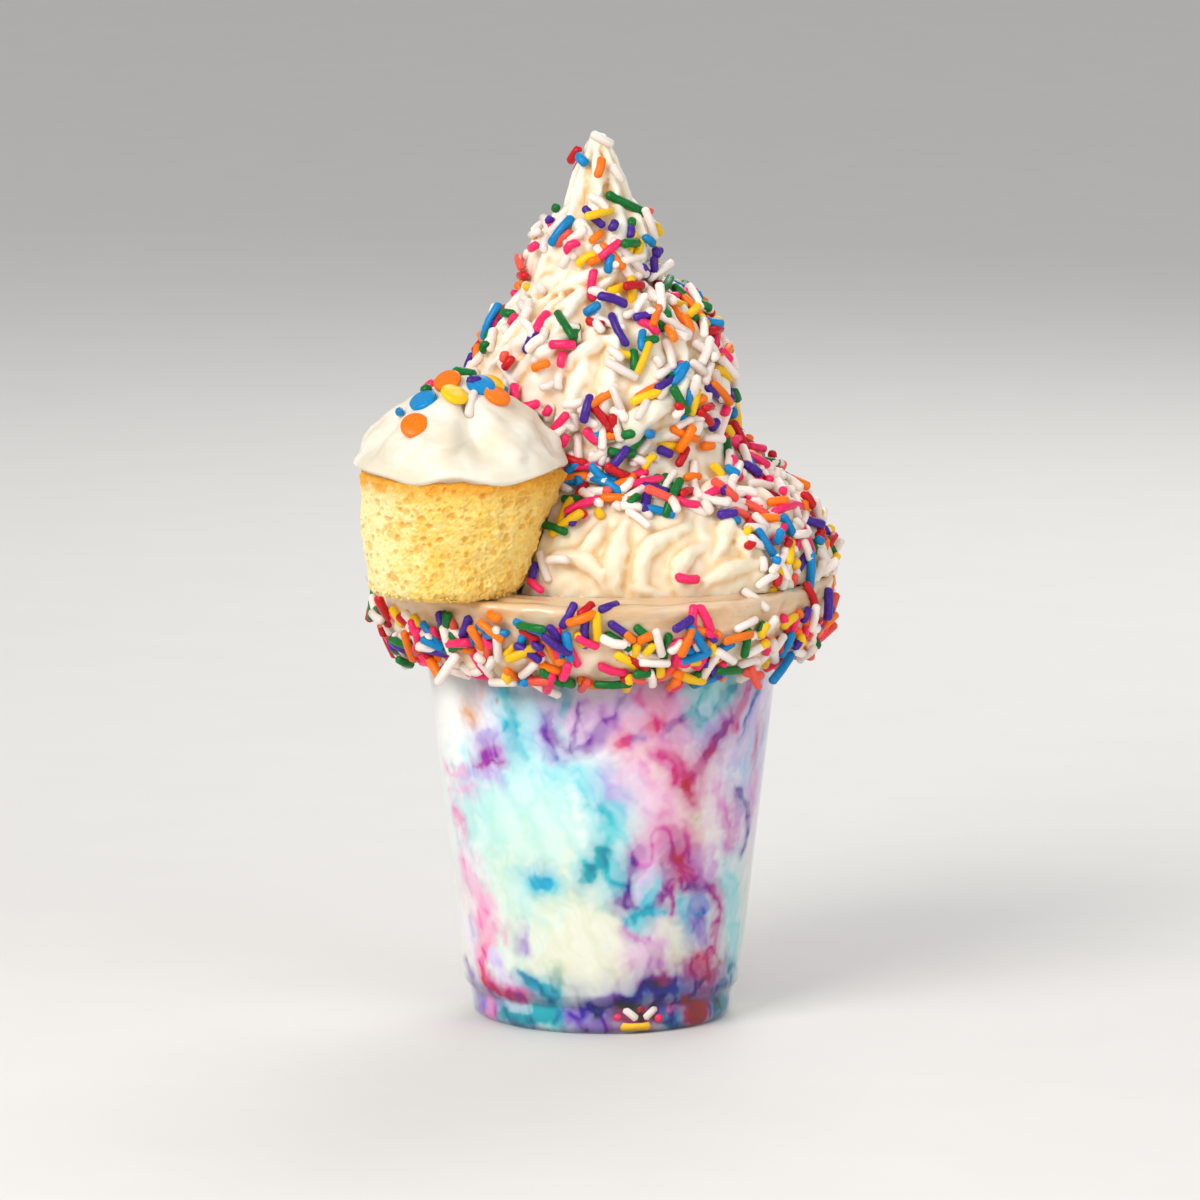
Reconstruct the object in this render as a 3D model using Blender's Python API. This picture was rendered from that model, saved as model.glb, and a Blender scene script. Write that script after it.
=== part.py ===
"""A clear cup of marbled frozen yogurt under a tall piped swirl, with an icing collar
round its rim, a small frosted cupcake perched on the rim, and coloured sprinkles.

Sizes are in millimetres and become metres where a mesh is made. The origin is the
middle of the cup's underside, +Z is up and -Y is the side that faces the viewer.
"""

import math

import bmesh
import bpy
import numpy as np
from mathutils import Vector
from mathutils.bvhtree import BVHTree

MM = 0.001

# The clear cup
CUP_HEIGHT = 111.0
CUP_RIM_RADIUS = 47.5
CUP_RIM_BEAD = 1.5
CUP_WALL = 0.6
CUP_FOOT_RADIUS = 33.0
CUP_FOOT_HEIGHT = 6.6
CUP_HEEL = 3.0
CUP_SHOULDER_RADIUS = 34.6
CUP_SHOULDER_HEIGHT = 9.6
CUP_WALL_TOP_RADIUS = 45.8
CUP_WALL_TOP_HEIGHT = 108.0
CUP_PAD_RADIUS = 8.0
CUP_RECESS_RADIUS = 26.5
CUP_RECESS_DEPTH = 2.2
CUP_SIDES = 32

# The clearance that touching pieces keep
GAP = 0.3

# The icing collar round the rim
COLLAR_TOP_RADIUS = 56.8
COLLAR_EDGE = 1.6
COLLAR_BOTTOM = 91.0
COLLAR_WAVE = 0.7
COLLAR_SIDES = 40

# The piped swirl: a thick rope of cream that climbs round a drifting axis
SWIRL_BASE = CUP_HEIGHT + GAP
SWIRL_TIP = 221.0
FLUTE_WIDTH = 9.4
REMESH_VOXEL = 1.5
SWIRL_FACES = 3050

# The cupcake on the rim
CAKE_BASE_CENTRE = (-38.6, -34.5)
CAKE_TOP_CENTRE = (-34.6, -33.5)
CAKE_BASE_RADIUS = 18.6
CAKE_TOP_RADIUS = 24.8
CAKE_HEIGHT = 28.2
CAKE_SIDES = 28
FROSTING_RADIUS = 24.6
FROSTING_HEIGHT = 25.0
FROSTING_SIDES = 28

# Sprinkles: rod-shaped ones everywhere and flat discs on the frosting
ROD_RADIUS = 1.05
ROD_LENGTHS = (7.0, 10.5)
ROD_SIDES = 5
DISC_RADIUS = 3.5
DISC_THICKNESS = 1.5
DISC_SIDES = 8
SWIRL_RODS = 76
COLLAR_RODS = 32
FROSTING_RODS = 5
SEED = 7

SHARP_ANGLE = 40.0
GOLDEN_TURN = math.pi * (3.0 - math.sqrt(5.0))
FRONT = -0.5 * math.pi


def paint(name, colour, roughness, transmission=0.0):
    """A Principled material of one colour."""
    material = bpy.data.materials.new(name)
    material.use_nodes = True
    shader = material.node_tree.nodes["Principled BSDF"]
    shader.inputs["Base Color"].default_value = (*colour, 1.0)
    shader.inputs["Roughness"].default_value = roughness
    shader.inputs["Metallic"].default_value = 0.0
    shader.inputs["Transmission Weight"].default_value = transmission
    material.diffuse_color = (*colour, 1.0)
    return material


def shade(mesh):
    """Shades a mesh smooth, with its sharp edges kept sharp."""
    mesh.shade_smooth()
    mesh.set_sharp_from_angle(angle=math.radians(SHARP_ANGLE))


def add_object(name, mesh, material=None):
    """Links a mesh to the scene as a named object."""
    made = bpy.data.objects.new(name, mesh)
    bpy.context.scene.collection.objects.link(made)
    if material:
        mesh.materials.clear()
        mesh.materials.append(material)
    shade(mesh)
    return made


def mesh_of(name, points, faces):
    """A mesh from points in millimetres, with its faces turned outwards."""
    mesh = bpy.data.meshes.new(name)
    mesh.from_pydata((np.asarray(points) * MM).tolist(), [], faces)
    bm = bmesh.new()
    bm.from_mesh(mesh)
    bmesh.ops.remove_doubles(bm, verts=bm.verts, dist=1e-7)
    bmesh.ops.recalc_face_normals(bm, faces=bm.faces)
    bm.to_mesh(mesh)
    bm.free()
    return mesh


def grid_faces(rows, columns):
    """Quads of a grid whose columns close on themselves, with a cap at each end row."""
    faces = [
        (
            row * columns + column,
            row * columns + (column + 1) % columns,
            (row + 1) * columns + (column + 1) % columns,
            (row + 1) * columns + column,
        )
        for row in range(rows - 1)
        for column in range(columns)
    ]
    faces.append(tuple(reversed(range(columns))))
    faces.append(tuple(range((rows - 1) * columns, rows * columns)))
    return faces


def turned(name, profile, sides):
    """A closed outline in (radius, height) turned about the Z axis by bmesh's spin."""
    bm = bmesh.new()
    ring = [bm.verts.new((radius * MM, 0.0, height * MM)) for radius, height in profile]
    for start, end in zip(ring, ring[1:]):
        bm.edges.new((start, end))
    bmesh.ops.spin(
        bm,
        geom=bm.verts[:] + bm.edges[:],
        cent=(0, 0, 0),
        axis=(0, 0, 1),
        angle=2 * math.pi,
        steps=sides,
        use_merge=True,
    )
    bmesh.ops.remove_doubles(bm, verts=bm.verts, dist=1e-6)
    bmesh.ops.recalc_face_normals(bm, faces=bm.faces)
    mesh = bpy.data.meshes.new(name)
    bm.to_mesh(mesh)
    bm.free()
    return mesh


def arc(centre, radius, start, end, steps):
    """Points of an arc in (radius, height), from one angle to another in degrees."""
    return [
        (
            centre[0] + radius * math.cos(math.radians(angle)),
            centre[1] + radius * math.sin(math.radians(angle)),
        )
        for angle in np.linspace(start, end, steps)
    ]


def wall_radius(height):
    """The radius of the cup's tapered outer wall at a height above the shoulder."""
    share = (height - CUP_SHOULDER_HEIGHT) / (CUP_WALL_TOP_HEIGHT - CUP_SHOULDER_HEIGHT)
    return CUP_SHOULDER_RADIUS + share * (CUP_WALL_TOP_RADIUS - CUP_SHOULDER_RADIUS)


def inside_profile(inset):
    """The cup's inner surface, bottom to top, moved inwards by inset."""
    thick = CUP_WALL + inset
    foot = CUP_FOOT_RADIUS - thick
    recess_top = CUP_RECESS_DEPTH + thick
    heel = CUP_HEEL - CUP_WALL
    return [
        (0.0, recess_top),
        (CUP_RECESS_RADIUS - 0.6 * thick, recess_top),
        (CUP_RECESS_RADIUS + 1.4, thick),
        *arc((foot - heel, thick + heel), heel, -90, 0, 3),
        (foot, CUP_FOOT_HEIGHT + 0.3),
        (wall_radius(CUP_SHOULDER_HEIGHT + 0.6) - thick, CUP_SHOULDER_HEIGHT + 0.6),
        (wall_radius(60.0) - thick, 60.0),
        (CUP_WALL_TOP_RADIUS - thick, CUP_WALL_TOP_HEIGHT),
    ]


def make_cup(material):
    """The thin clear cup: a recessed base, a stepped foot, a tapered wall and a rolled rim."""
    foot, heel = CUP_FOOT_RADIUS, CUP_HEEL
    bead_centre = (CUP_RIM_RADIUS - CUP_RIM_BEAD, CUP_HEIGHT - CUP_RIM_BEAD)
    outside = [
        (0.0, 0.0),
        (CUP_PAD_RADIUS, 0.0),
        (CUP_PAD_RADIUS + 1.2, CUP_RECESS_DEPTH),
        (CUP_RECESS_RADIUS - 1.2, CUP_RECESS_DEPTH),
        (CUP_RECESS_RADIUS, 0.0),
        *arc((foot - heel, heel), heel, -90, 0, 3),
        (foot, CUP_FOOT_HEIGHT),
        (foot + 0.9, CUP_FOOT_HEIGHT + 1.3),
        (CUP_SHOULDER_RADIUS, CUP_SHOULDER_HEIGHT),
        (wall_radius(60.0), 60.0),
        (CUP_WALL_TOP_RADIUS, CUP_WALL_TOP_HEIGHT),
    ]
    bead = arc(bead_centre, CUP_RIM_BEAD, -55, 205, 6)
    inside = list(reversed(inside_profile(0.0)))
    return add_object("cup", turned("cup", outside + bead + inside, CUP_SIDES), material)


def make_filling(material):
    """The frozen yogurt that fills the cup to just under its rim."""
    top = CUP_HEIGHT - GAP
    profile = [
        *inside_profile(GAP),
        (CUP_RIM_RADIUS - 2 * CUP_RIM_BEAD - GAP, CUP_WALL_TOP_HEIGHT + 1.0),
        (CUP_RIM_RADIUS - 2 * CUP_RIM_BEAD - GAP, top),
        (0.0, top),
    ]
    return add_object("frozen_yogurt", turned("frozen_yogurt", profile, CUP_SIDES), material)


def collar_profile():
    """The collar's section: flat on top, sloping down and in to the cup's wall."""
    edge = (COLLAR_TOP_RADIUS - COLLAR_EDGE, CUP_HEIGHT - COLLAR_EDGE)
    rim = CUP_RIM_RADIUS + GAP
    bottom = COLLAR_BOTTOM
    return [
        (rim, CUP_HEIGHT),
        *arc(edge, COLLAR_EDGE, 90, 0, 3),
        (COLLAR_TOP_RADIUS - 1.4, CUP_HEIGHT - 8.0),
        (COLLAR_TOP_RADIUS - 3.8, CUP_HEIGHT - 14.5),
        (COLLAR_TOP_RADIUS - 6.6, bottom + 2.0),
        (COLLAR_TOP_RADIUS - 10.0, bottom),
        (wall_radius(bottom) + GAP, bottom - 0.2),
        (wall_radius(CUP_HEIGHT - 5.0) + GAP, CUP_HEIGHT - 5.0),
        (rim, CUP_HEIGHT - CUP_RIM_BEAD - 1.2),
        (rim, CUP_HEIGHT),
    ]


def collar_wave(angle):
    """How far the icing stands out or in at an angle round the cup."""
    return COLLAR_WAVE * (np.sin(3 * angle + 0.6) + 0.6 * np.sin(7 * angle + 2.1))


def make_collar(material):
    """The band of icing round the outside of the rim, with a hand-smoothed wave."""
    mesh = turned("icing_collar", collar_profile(), COLLAR_SIDES)
    wall = CUP_RIM_RADIUS + GAP + 0.1
    for vertex in mesh.vertices:
        radius = math.hypot(vertex.co.x, vertex.co.y) / MM
        if radius < wall:
            continue
        angle = math.atan2(vertex.co.y, vertex.co.x)
        grown = (radius + collar_wave(angle)) / radius
        vertex.co.x *= grown
        vertex.co.y *= grown
    return add_object("icing_collar", mesh, material)


def table(value, stations, amounts):
    """Reads amounts at value, straight between the stations."""
    return np.interp(value, stations, amounts)


def axis_at(height):
    """Where the swirl's axis is, at each height: it drifts back to the middle as it climbs."""
    x = table(height, (111, 125, 150, 185, 205, 222), (8.6, 6.6, 1.0, -1.4, -0.8, -1.0))
    y = table(height, (111, 125, 150, 185, 222), (5.0, 3.5, 2.0, 0.5, 0.0))
    return x, y


def climb(turn):
    """How many tiers the rope has climbed after some turns, counted from the front.

    It stays nearly level across the front half of each turn and climbs at the back.
    """
    whole = np.floor(turn + 0.5)
    part = turn - whole
    ramp = 0.5 * np.sign(part) * np.abs(2 * part) ** 3
    return 0.15 * turn + 0.85 * (whole + ramp)


# Along the climb: the rope's middle radius, height, half length and half depth, and lean
TIERS = (-0.5, 0.0, 1.0, 2.0, 2.5)
TIER_RADIUS = (33.6, 32.1, 19.8, 6.9, 2.4)
TIER_HEIGHT = (108.0, 123.0, 164.0, 193.0, 202.0)
TIER_HALF_LENGTH = (22.0, 22.5, 19.5, 12.5, 9.0)
TIER_HALF_DEPTH = (11.5, 11.5, 11.0, 7.6, 5.5)
TIER_LEAN = (45.0, 45.0, 26.0, 24.0, 12.0)
TIER_FLUTE_DEPTH = (3.2, 3.2, 2.4, 1.5, 1.0)
TIER_SLANT = (0.2, 0.2, 1.9, 1.4, 0.8)


def rope_points(turns, rounds):
    """The swirl's rope, one closed ring of points for each turn value.

    Each ring is a rounded section that leans inwards by TIER_LEAN. Its surface moves out
    by TIER_FLUTE_DEPTH times a narrow crest that repeats every FLUTE_WIDTH of the way
    along the rope, and slants by TIER_SLANT round the section.
    """
    tier = climb(turns)
    middle = table(tier, TIERS, TIER_RADIUS)
    height = table(tier, TIERS, TIER_HEIGHT)
    length = table(tier, TIERS, TIER_HALF_LENGTH)
    depth = table(tier, TIERS, TIER_HALF_DEPTH)
    lean = np.radians(table(tier, TIERS, TIER_LEAN))
    flute = table(tier, TIERS, TIER_FLUTE_DEPTH)
    slant = table(tier, TIERS, TIER_SLANT)
    angle = FRONT + 2 * np.pi * turns
    step = np.gradient(angle) * (middle + depth)
    travelled = np.concatenate([[0.0], np.cumsum(step)[:-1]])

    around = np.linspace(0, 2 * np.pi, rounds, endpoint=False)[None, :]
    phase = 2 * np.pi * travelled[:, None] / FLUTE_WIDTH + slant[:, None] * 2.0 * around
    crest = (0.5 + 0.5 * np.cos(phase + 0.7 * np.sin(0.37 * phase))) ** 1.4
    grown = flute[:, None] * (crest - 0.6)
    along = (length[:, None] + grown) * np.cos(around)
    out = (depth[:, None] + grown) * np.sin(around)
    radius = middle[:, None] - along * np.sin(lean)[:, None] + out * np.cos(lean)[:, None]
    level = height[:, None] + along * np.cos(lean)[:, None] + out * np.sin(lean)[:, None]
    axis_x, axis_y = axis_at(level)
    return np.stack(
        [
            axis_x + radius * np.cos(angle)[:, None],
            axis_y + radius * np.sin(angle)[:, None],
            level,
        ],
        axis=-1,
    )


def tip_points(rows, columns):
    """The fluted point that the rope is drawn up into, bent a little at its end."""
    height = np.linspace(186.0, SWIRL_TIP, rows)
    radius = table(
        height, (186, 198, 206, 212, 217, SWIRL_TIP), (9.0, 8.2, 7.3, 6.0, 4.2, 2.0)
    )
    around = np.linspace(0, 2 * np.pi, columns, endpoint=False)[None, :]
    twist = 0.03 * (height - 186.0)[:, None]
    grown = 1 + 0.16 * np.cos(8 * around + twist)
    axis_x, axis_y = axis_at(height)
    return np.stack(
        [
            axis_x[:, None] + radius[:, None] * grown * np.cos(around),
            axis_y[:, None] + radius[:, None] * grown * np.sin(around),
            np.broadcast_to(height[:, None], (rows, columns)),
        ],
        axis=-1,
    )


def core_points(rows, columns):
    """The plain cone inside the rope, which leaves no hollow along the axis."""
    height = np.linspace(105.0, 200.0, rows)
    levels = (105, 128, 145, 155, 165, 180, 186, 193, 200)
    radius = table(height, levels, (36.0, 34.5, 30.5, 27.5, 24.0, 15.5, 13.0, 9.5, 4.0))
    around = np.linspace(0, 2 * np.pi, columns, endpoint=False)[None, :]
    axis_x, axis_y = axis_at(height)
    return np.stack(
        [
            axis_x[:, None] + radius[:, None] * np.cos(around),
            axis_y[:, None] + radius[:, None] * np.sin(around),
            np.broadcast_to(height[:, None], (rows, columns)),
        ],
        axis=-1,
    )


def join_grids(name, *grids):
    """One mesh holding several closed grids that overlap."""
    points, faces, start = [], [], 0
    for grid in grids:
        rows, columns = grid.shape[:2]
        points.append(grid.reshape(-1, 3))
        faces += [tuple(start + i for i in face) for face in grid_faces(rows, columns)]
        start += rows * columns
    return mesh_of(name, np.concatenate(points), faces)


def applied(made):
    """Replaces an object's mesh by what its modifiers make of it."""
    graph = bpy.context.evaluated_depsgraph_get()
    mesh = bpy.data.meshes.new_from_object(made.evaluated_get(graph))
    made.modifiers.clear()
    made.data = mesh
    return made


def largest_piece(made):
    """Drops the loose scraps that a Boolean can leave, and keeps the largest piece."""
    bm = bmesh.new()
    bm.from_mesh(made.data)
    unseen, pieces = set(bm.verts), []
    while unseen:
        front = [unseen.pop()]
        piece = list(front)
        while front:
            near = {edge.other_vert(v) for v in front for edge in v.link_edges} & unseen
            unseen -= near
            front = list(near)
            piece += front
        pieces.append(piece)
    pieces.sort(key=len)
    for piece in pieces[:-1]:
        bmesh.ops.delete(bm, geom=piece, context="VERTS")
    bm.to_mesh(made.data)
    bm.free()
    return made


def cut_level(made, height):
    """Cuts the object off flat below a height and closes the cut."""
    bm = bmesh.new()
    bm.from_mesh(made.data)
    everything = bm.verts[:] + bm.edges[:] + bm.faces[:]
    bmesh.ops.bisect_plane(
        bm,
        geom=everything,
        dist=1e-6,
        plane_co=(0, 0, height * MM),
        plane_no=(0, 0, -1),
        clear_outer=True,
    )
    rim = [edge for edge in bm.edges if edge.is_boundary]
    bmesh.ops.holes_fill(bm, edges=rim, sides=0)
    bmesh.ops.triangulate(bm, faces=[f for f in bm.faces if len(f.verts) > 4])
    bmesh.ops.recalc_face_normals(bm, faces=bm.faces)
    bm.to_mesh(made.data)
    bm.free()


def boolean(made, operation, others):
    """Joins or cuts the object with a collection of others, then removes them."""
    group = bpy.data.collections.new(made.name + "_tools")
    for other in others:
        group.objects.link(other)
    modifier = made.modifiers.new(operation.lower(), "BOOLEAN")
    modifier.operation = operation
    modifier.operand_type = "COLLECTION"
    modifier.collection = group
    modifier.solver = "MANIFOLD"
    applied(made)
    for other in others:
        bpy.data.objects.remove(other)
    bpy.data.collections.remove(group)
    return made


def cake_points(rows, columns, grow=0.0, low=0.0, high=None):
    """The cake: round, wider at the top, with its middle moved sideways as it rises."""
    high = CAKE_HEIGHT if high is None else high
    level = np.linspace(low, high, rows)
    share = np.clip(level / CAKE_HEIGHT, 0.0, 1.0)
    radius = CAKE_BASE_RADIUS + share * (CAKE_TOP_RADIUS - CAKE_BASE_RADIUS)
    heel = 1.6 * np.clip(1.0 - level / 2.4, 0.0, 1.0) ** 2
    radius = radius - heel * (grow == 0.0) + grow
    around = np.linspace(0, 2 * np.pi, columns, endpoint=False)[None, :]
    uneven = 0.35 * np.sin(3 * around + 0.3 * level[:, None]) * (grow == 0.0)
    middle_x = CAKE_BASE_CENTRE[0] + share * (CAKE_TOP_CENTRE[0] - CAKE_BASE_CENTRE[0])
    middle_y = CAKE_BASE_CENTRE[1] + share * (CAKE_TOP_CENTRE[1] - CAKE_BASE_CENTRE[1])
    reach = radius[:, None] + uneven
    return np.stack(
        [
            middle_x[:, None] + reach * np.cos(around),
            middle_y[:, None] + reach * np.sin(around),
            np.broadcast_to(SWIRL_BASE + level[:, None], reach.shape),
        ],
        axis=-1,
    )


def frosting_points(rows, columns, grow=0.0):
    """The frosting: a soft dome with two lobes and a drooping edge, from its base up."""
    level = np.linspace(0, 1, rows)
    radius = table(
        level,
        (0.0, 0.04, 0.14, 0.3, 0.45, 0.6, 0.75, 0.9, 1.0),
        (0.93, 0.985, 1.0, 0.965, 0.87, 0.72, 0.52, 0.26, 0.08),
    )
    around = np.linspace(0, 2 * np.pi, columns, endpoint=False)[None, :]
    fold = 0.045 * np.sin(3 * around + 0.9) + 0.03 * np.sin(5 * around - 0.4)
    sides = np.sin(np.pi * np.clip(level * 1.15, 0, 1))[:, None]
    reach = (FROSTING_RADIUS * (radius[:, None] + fold * sides)) + grow
    base = SWIRL_BASE + CAKE_HEIGHT + GAP
    height = base + FROSTING_HEIGHT * level[:, None] + 0 * around + grow * (level[:, None] - 0.5)
    return np.stack(
        [
            CAKE_TOP_CENTRE[0] + reach * np.cos(around),
            CAKE_TOP_CENTRE[1] + reach * np.sin(around),
            height,
        ],
        axis=-1,
    )


def rod(name, place, direction, length, radius=ROD_RADIUS):
    """A sprinkle: a short rod with rounded ends, lying along a direction."""
    stations = ((-0.5, 0.6), (-0.5 + 0.55 * radius / length, 1.0))
    stations += tuple((-along, share) for along, share in reversed(stations))
    along = Vector(direction).normalized()
    side = along.orthogonal().normalized()
    other = along.cross(side)
    points = [
        Vector(place)
        + along * (share * length)
        + (side * math.cos(turn) + other * math.sin(turn)) * (radius * width)
        for share, width in stations
        for turn in np.linspace(0, 2 * math.pi, ROD_SIDES, endpoint=False)
    ]
    mesh = mesh_of(name, [tuple(p) for p in points], grid_faces(len(stations), ROD_SIDES))
    return add_object(name, mesh)


def disc(name, place, normal):
    """A flat round sprinkle facing a direction."""
    facing = Vector(normal).normalized()
    side = facing.orthogonal().normalized()
    other = facing.cross(side)
    half = 0.5 * DISC_THICKNESS
    points = [
        Vector(place)
        + facing * level
        + (side * math.cos(turn) + other * math.sin(turn)) * DISC_RADIUS
        for level in (-half, half)
        for turn in np.linspace(0, 2 * math.pi, DISC_SIDES, endpoint=False)
    ]
    mesh = mesh_of(name, [tuple(p) for p in points], grid_faces(2, DISC_SIDES))
    return add_object(name, mesh)


def surface_of(made):
    """A search tree over an object's faces, in metres."""
    bm = bmesh.new()
    bm.from_mesh(made.data)
    tree = BVHTree.FromBMesh(bm)
    bm.free()
    return tree


def seen_from_outside(tree, start, target):
    """The point and normal where a line from start first meets the surface, in millimetres."""
    origin = Vector(start) * MM
    hit, normal, _, _ = tree.ray_cast(origin, (Vector(target) * MM - origin).normalized())
    return (None, None) if hit is None else (hit / MM, normal)


def tangent(normal, turn):
    """A direction along the surface, turned by an angle from level."""
    level = Vector((0, 0, 1)).cross(normal)
    level = level.normalized() if level.length > 0.2 else normal.orthogonal().normalized()
    return level * math.cos(turn) + normal.cross(level) * math.sin(turn)


def clear_of(blockers, point, reach):
    """True if no blocking surface is within reach of the point."""
    return all(tree.find_nearest(point * MM, reach * MM)[0] is None for tree in blockers)


def scattered_rods(made, count, spots, blockers):
    """Sprinkles spread over an object by a golden-angle rule, each sunk into it a little."""
    rng = np.random.default_rng(SEED)
    tree = surface_of(made)
    rods = []
    for start, target in spots:
        if len(rods) == count:
            break
        length = rng.uniform(*ROD_LENGTHS)
        turn = rng.uniform(0, math.pi)
        hit, normal = seen_from_outside(tree, start, target)
        if hit is None or not clear_of(blockers, hit, 0.5 * length + 1.2):
            continue
        place = hit + normal * (0.35 * ROD_RADIUS)
        rods.append(rod(f"rod_{len(rods)}", place, tangent(normal, turn), length))
    return rods


def swirl_spots(count):
    """Lines of sight towards the swirl's axis, evenly spread over its slanting side."""
    low, high = SWIRL_BASE + 7.0, SWIRL_TIP - 7.0
    for index in range(count):
        share = (index + 0.5) / count
        height = high - (high - low) * math.sqrt(share)
        axis_x, axis_y = axis_at(height)
        angle = index * GOLDEN_TURN
        start = (200 * math.cos(angle), 200 * math.sin(angle), height + 30)
        yield start, (float(axis_x), float(axis_y), height)


def collar_spots(count):
    """Lines of sight towards the collar's sloping side, row by row round the cup."""
    for index in range(count):
        height = CUP_HEIGHT - 6.0 - 11.0 * ((index * 0.618034) % 1.0)
        angle = 2 * math.pi * index / count
        start = (200 * math.cos(angle), 200 * math.sin(angle), height)
        yield start, (0.0, 0.0, height)


def frosting_toppings(made, blockers):
    """Discs and rods on the frosting's crown, in a ring and a middle group."""
    tree = surface_of(made)
    middle = Vector((*CAKE_TOP_CENTRE, 0.0))
    top = SWIRL_BASE + CAKE_HEIGHT + FROSTING_HEIGHT
    toppings = []
    for index in range(9):
        angle = FRONT + index * 2 * math.pi / 9
        reach = 9.5 + 2.5 * math.sin(2.3 * index)
        start = middle + Vector((reach * math.cos(angle), reach * math.sin(angle), top + 20))
        hit, normal = seen_from_outside(tree, start, start - Vector((0, 0, 100)))
        if hit is not None and clear_of(blockers, hit, DISC_RADIUS + 1.0):
            place = hit + normal * (0.2 * DISC_THICKNESS)
            toppings.append(disc(f"disc_{index}", place, normal))
    for index in range(FROSTING_RODS):
        angle = FRONT + 0.35 + index * 2 * math.pi / FROSTING_RODS
        start = middle + Vector((4.6 * math.cos(angle), 4.6 * math.sin(angle), top + 20))
        hit, normal = seen_from_outside(tree, start, start - Vector((0, 0, 100)))
        place = hit + normal * (0.35 * ROD_RADIUS)
        toppings.append(rod(f"top_rod_{index}", place, tangent(normal, angle), ROD_LENGTHS[0]))
    return toppings


def make_cake(material):
    """The small sponge cake, which stands on the rim and the collar."""
    mesh = join_grids("cupcake", cake_points(7, CAKE_SIDES))
    return add_object("cupcake", mesh, material)


def make_frosting(material):
    """The white frosting on the cake."""
    mesh = join_grids("frosting", frosting_points(10, FROSTING_SIDES))
    return add_object("frosting", mesh, material)


def make_swirl(material):
    """The piped swirl, cut level where it stands and dented where the cupcake leans on it."""
    turns = np.linspace(-0.5, 2.42, 420)
    mesh = join_grids(
        "yogurt_swirl", rope_points(turns, 40), tip_points(24, 32), core_points(20, 32)
    )
    swirl = add_object("yogurt_swirl", mesh, material)
    remesh = swirl.modifiers.new("skin", "REMESH")
    remesh.mode = "VOXEL"
    remesh.voxel_size = REMESH_VOXEL * MM
    applied(largest_piece(applied(swirl)))
    decimate = swirl.modifiers.new("fewer", "DECIMATE")
    decimate.ratio = SWIRL_FACES / (2 * len(swirl.data.polygons))
    applied(swirl)
    cut_level(swirl, SWIRL_BASE)
    dents = [
        add_object(
            "dent_cake",
            join_grids("dent_cake", cake_points(6, CAKE_SIDES, 0.6, -4.0, CAKE_HEIGHT + 2)),
        ),
        add_object(
            "dent_frosting", join_grids("dent_frosting", frosting_points(10, FROSTING_SIDES, 0.6))
        ),
    ]
    return largest_piece(boolean(swirl, "DIFFERENCE", dents))


def main():
    for old in list(bpy.data.objects):
        bpy.data.objects.remove(old)
    clear_plastic = paint("clear_plastic", (0.93, 0.95, 0.96), 0.08, transmission=0.9)
    marbled_yogurt = paint("marbled_yogurt", (0.80, 0.84, 0.90), 0.45)
    icing = paint("icing", (0.93, 0.80, 0.62), 0.35)
    cream = paint("cream", (0.98, 0.94, 0.84), 0.5)
    sponge = paint("sponge", (0.93, 0.74, 0.33), 0.9)
    white_frosting = paint("white_frosting", (0.97, 0.96, 0.92), 0.5)

    make_cup(clear_plastic)
    make_filling(marbled_yogurt)
    collar = make_collar(icing)
    cake = make_cake(sponge)
    frosting = make_frosting(white_frosting)
    swirl = make_swirl(cream)

    surfaces = {made.name: surface_of(made) for made in (collar, cake, frosting, swirl)}
    boolean(
        swirl,
        "UNION",
        scattered_rods(
            swirl,
            SWIRL_RODS,
            swirl_spots(2 * SWIRL_RODS),
            [surfaces["cupcake"], surfaces["frosting"], surfaces["icing_collar"]],
        ),
    )
    boolean(
        collar,
        "UNION",
        scattered_rods(
            collar,
            COLLAR_RODS,
            collar_spots(COLLAR_RODS),
            [surfaces["cupcake"], surfaces["yogurt_swirl"]],
        ),
    )
    boolean(
        frosting,
        "UNION",
        frosting_toppings(frosting, [surfaces["yogurt_swirl"], surfaces["cupcake"]]),
    )
    for made in (swirl, collar, frosting):
        shade(largest_piece(made).data)


main()
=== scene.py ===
"""A clear cup of marbled frozen yogurt under a tall piped swirl, dressed over its frame.

Sizes are in millimetres and become metres where a mesh is made. The origin is the
middle of the cup's underside, +Z is up and -Y is the side that faces the viewer.
"""

import math

import bpy
import numpy as np
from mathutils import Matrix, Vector
from mathutils.bvhtree import BVHTree


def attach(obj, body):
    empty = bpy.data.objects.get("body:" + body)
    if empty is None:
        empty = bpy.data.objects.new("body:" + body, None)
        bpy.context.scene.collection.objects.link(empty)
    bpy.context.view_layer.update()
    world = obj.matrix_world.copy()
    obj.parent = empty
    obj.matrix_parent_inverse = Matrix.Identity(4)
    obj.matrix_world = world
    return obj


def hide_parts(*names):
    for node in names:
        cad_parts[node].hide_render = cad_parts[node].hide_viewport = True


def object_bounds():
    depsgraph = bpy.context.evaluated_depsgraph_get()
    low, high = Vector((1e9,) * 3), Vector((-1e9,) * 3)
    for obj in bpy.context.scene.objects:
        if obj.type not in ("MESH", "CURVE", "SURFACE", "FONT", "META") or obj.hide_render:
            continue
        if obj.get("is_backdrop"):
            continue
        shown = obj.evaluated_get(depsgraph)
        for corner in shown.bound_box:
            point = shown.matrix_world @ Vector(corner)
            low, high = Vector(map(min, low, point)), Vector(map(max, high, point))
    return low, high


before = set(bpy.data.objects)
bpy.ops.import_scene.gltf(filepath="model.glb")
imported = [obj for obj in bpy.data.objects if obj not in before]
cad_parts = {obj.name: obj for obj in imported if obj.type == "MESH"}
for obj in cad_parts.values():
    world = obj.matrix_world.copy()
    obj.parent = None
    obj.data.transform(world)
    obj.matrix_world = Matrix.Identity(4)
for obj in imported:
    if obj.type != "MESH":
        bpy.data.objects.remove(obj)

MM = 0.001
CAD_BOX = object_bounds()
SEED = 20
FRONT = -0.5 * math.pi  # the angle that faces the viewer

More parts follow.
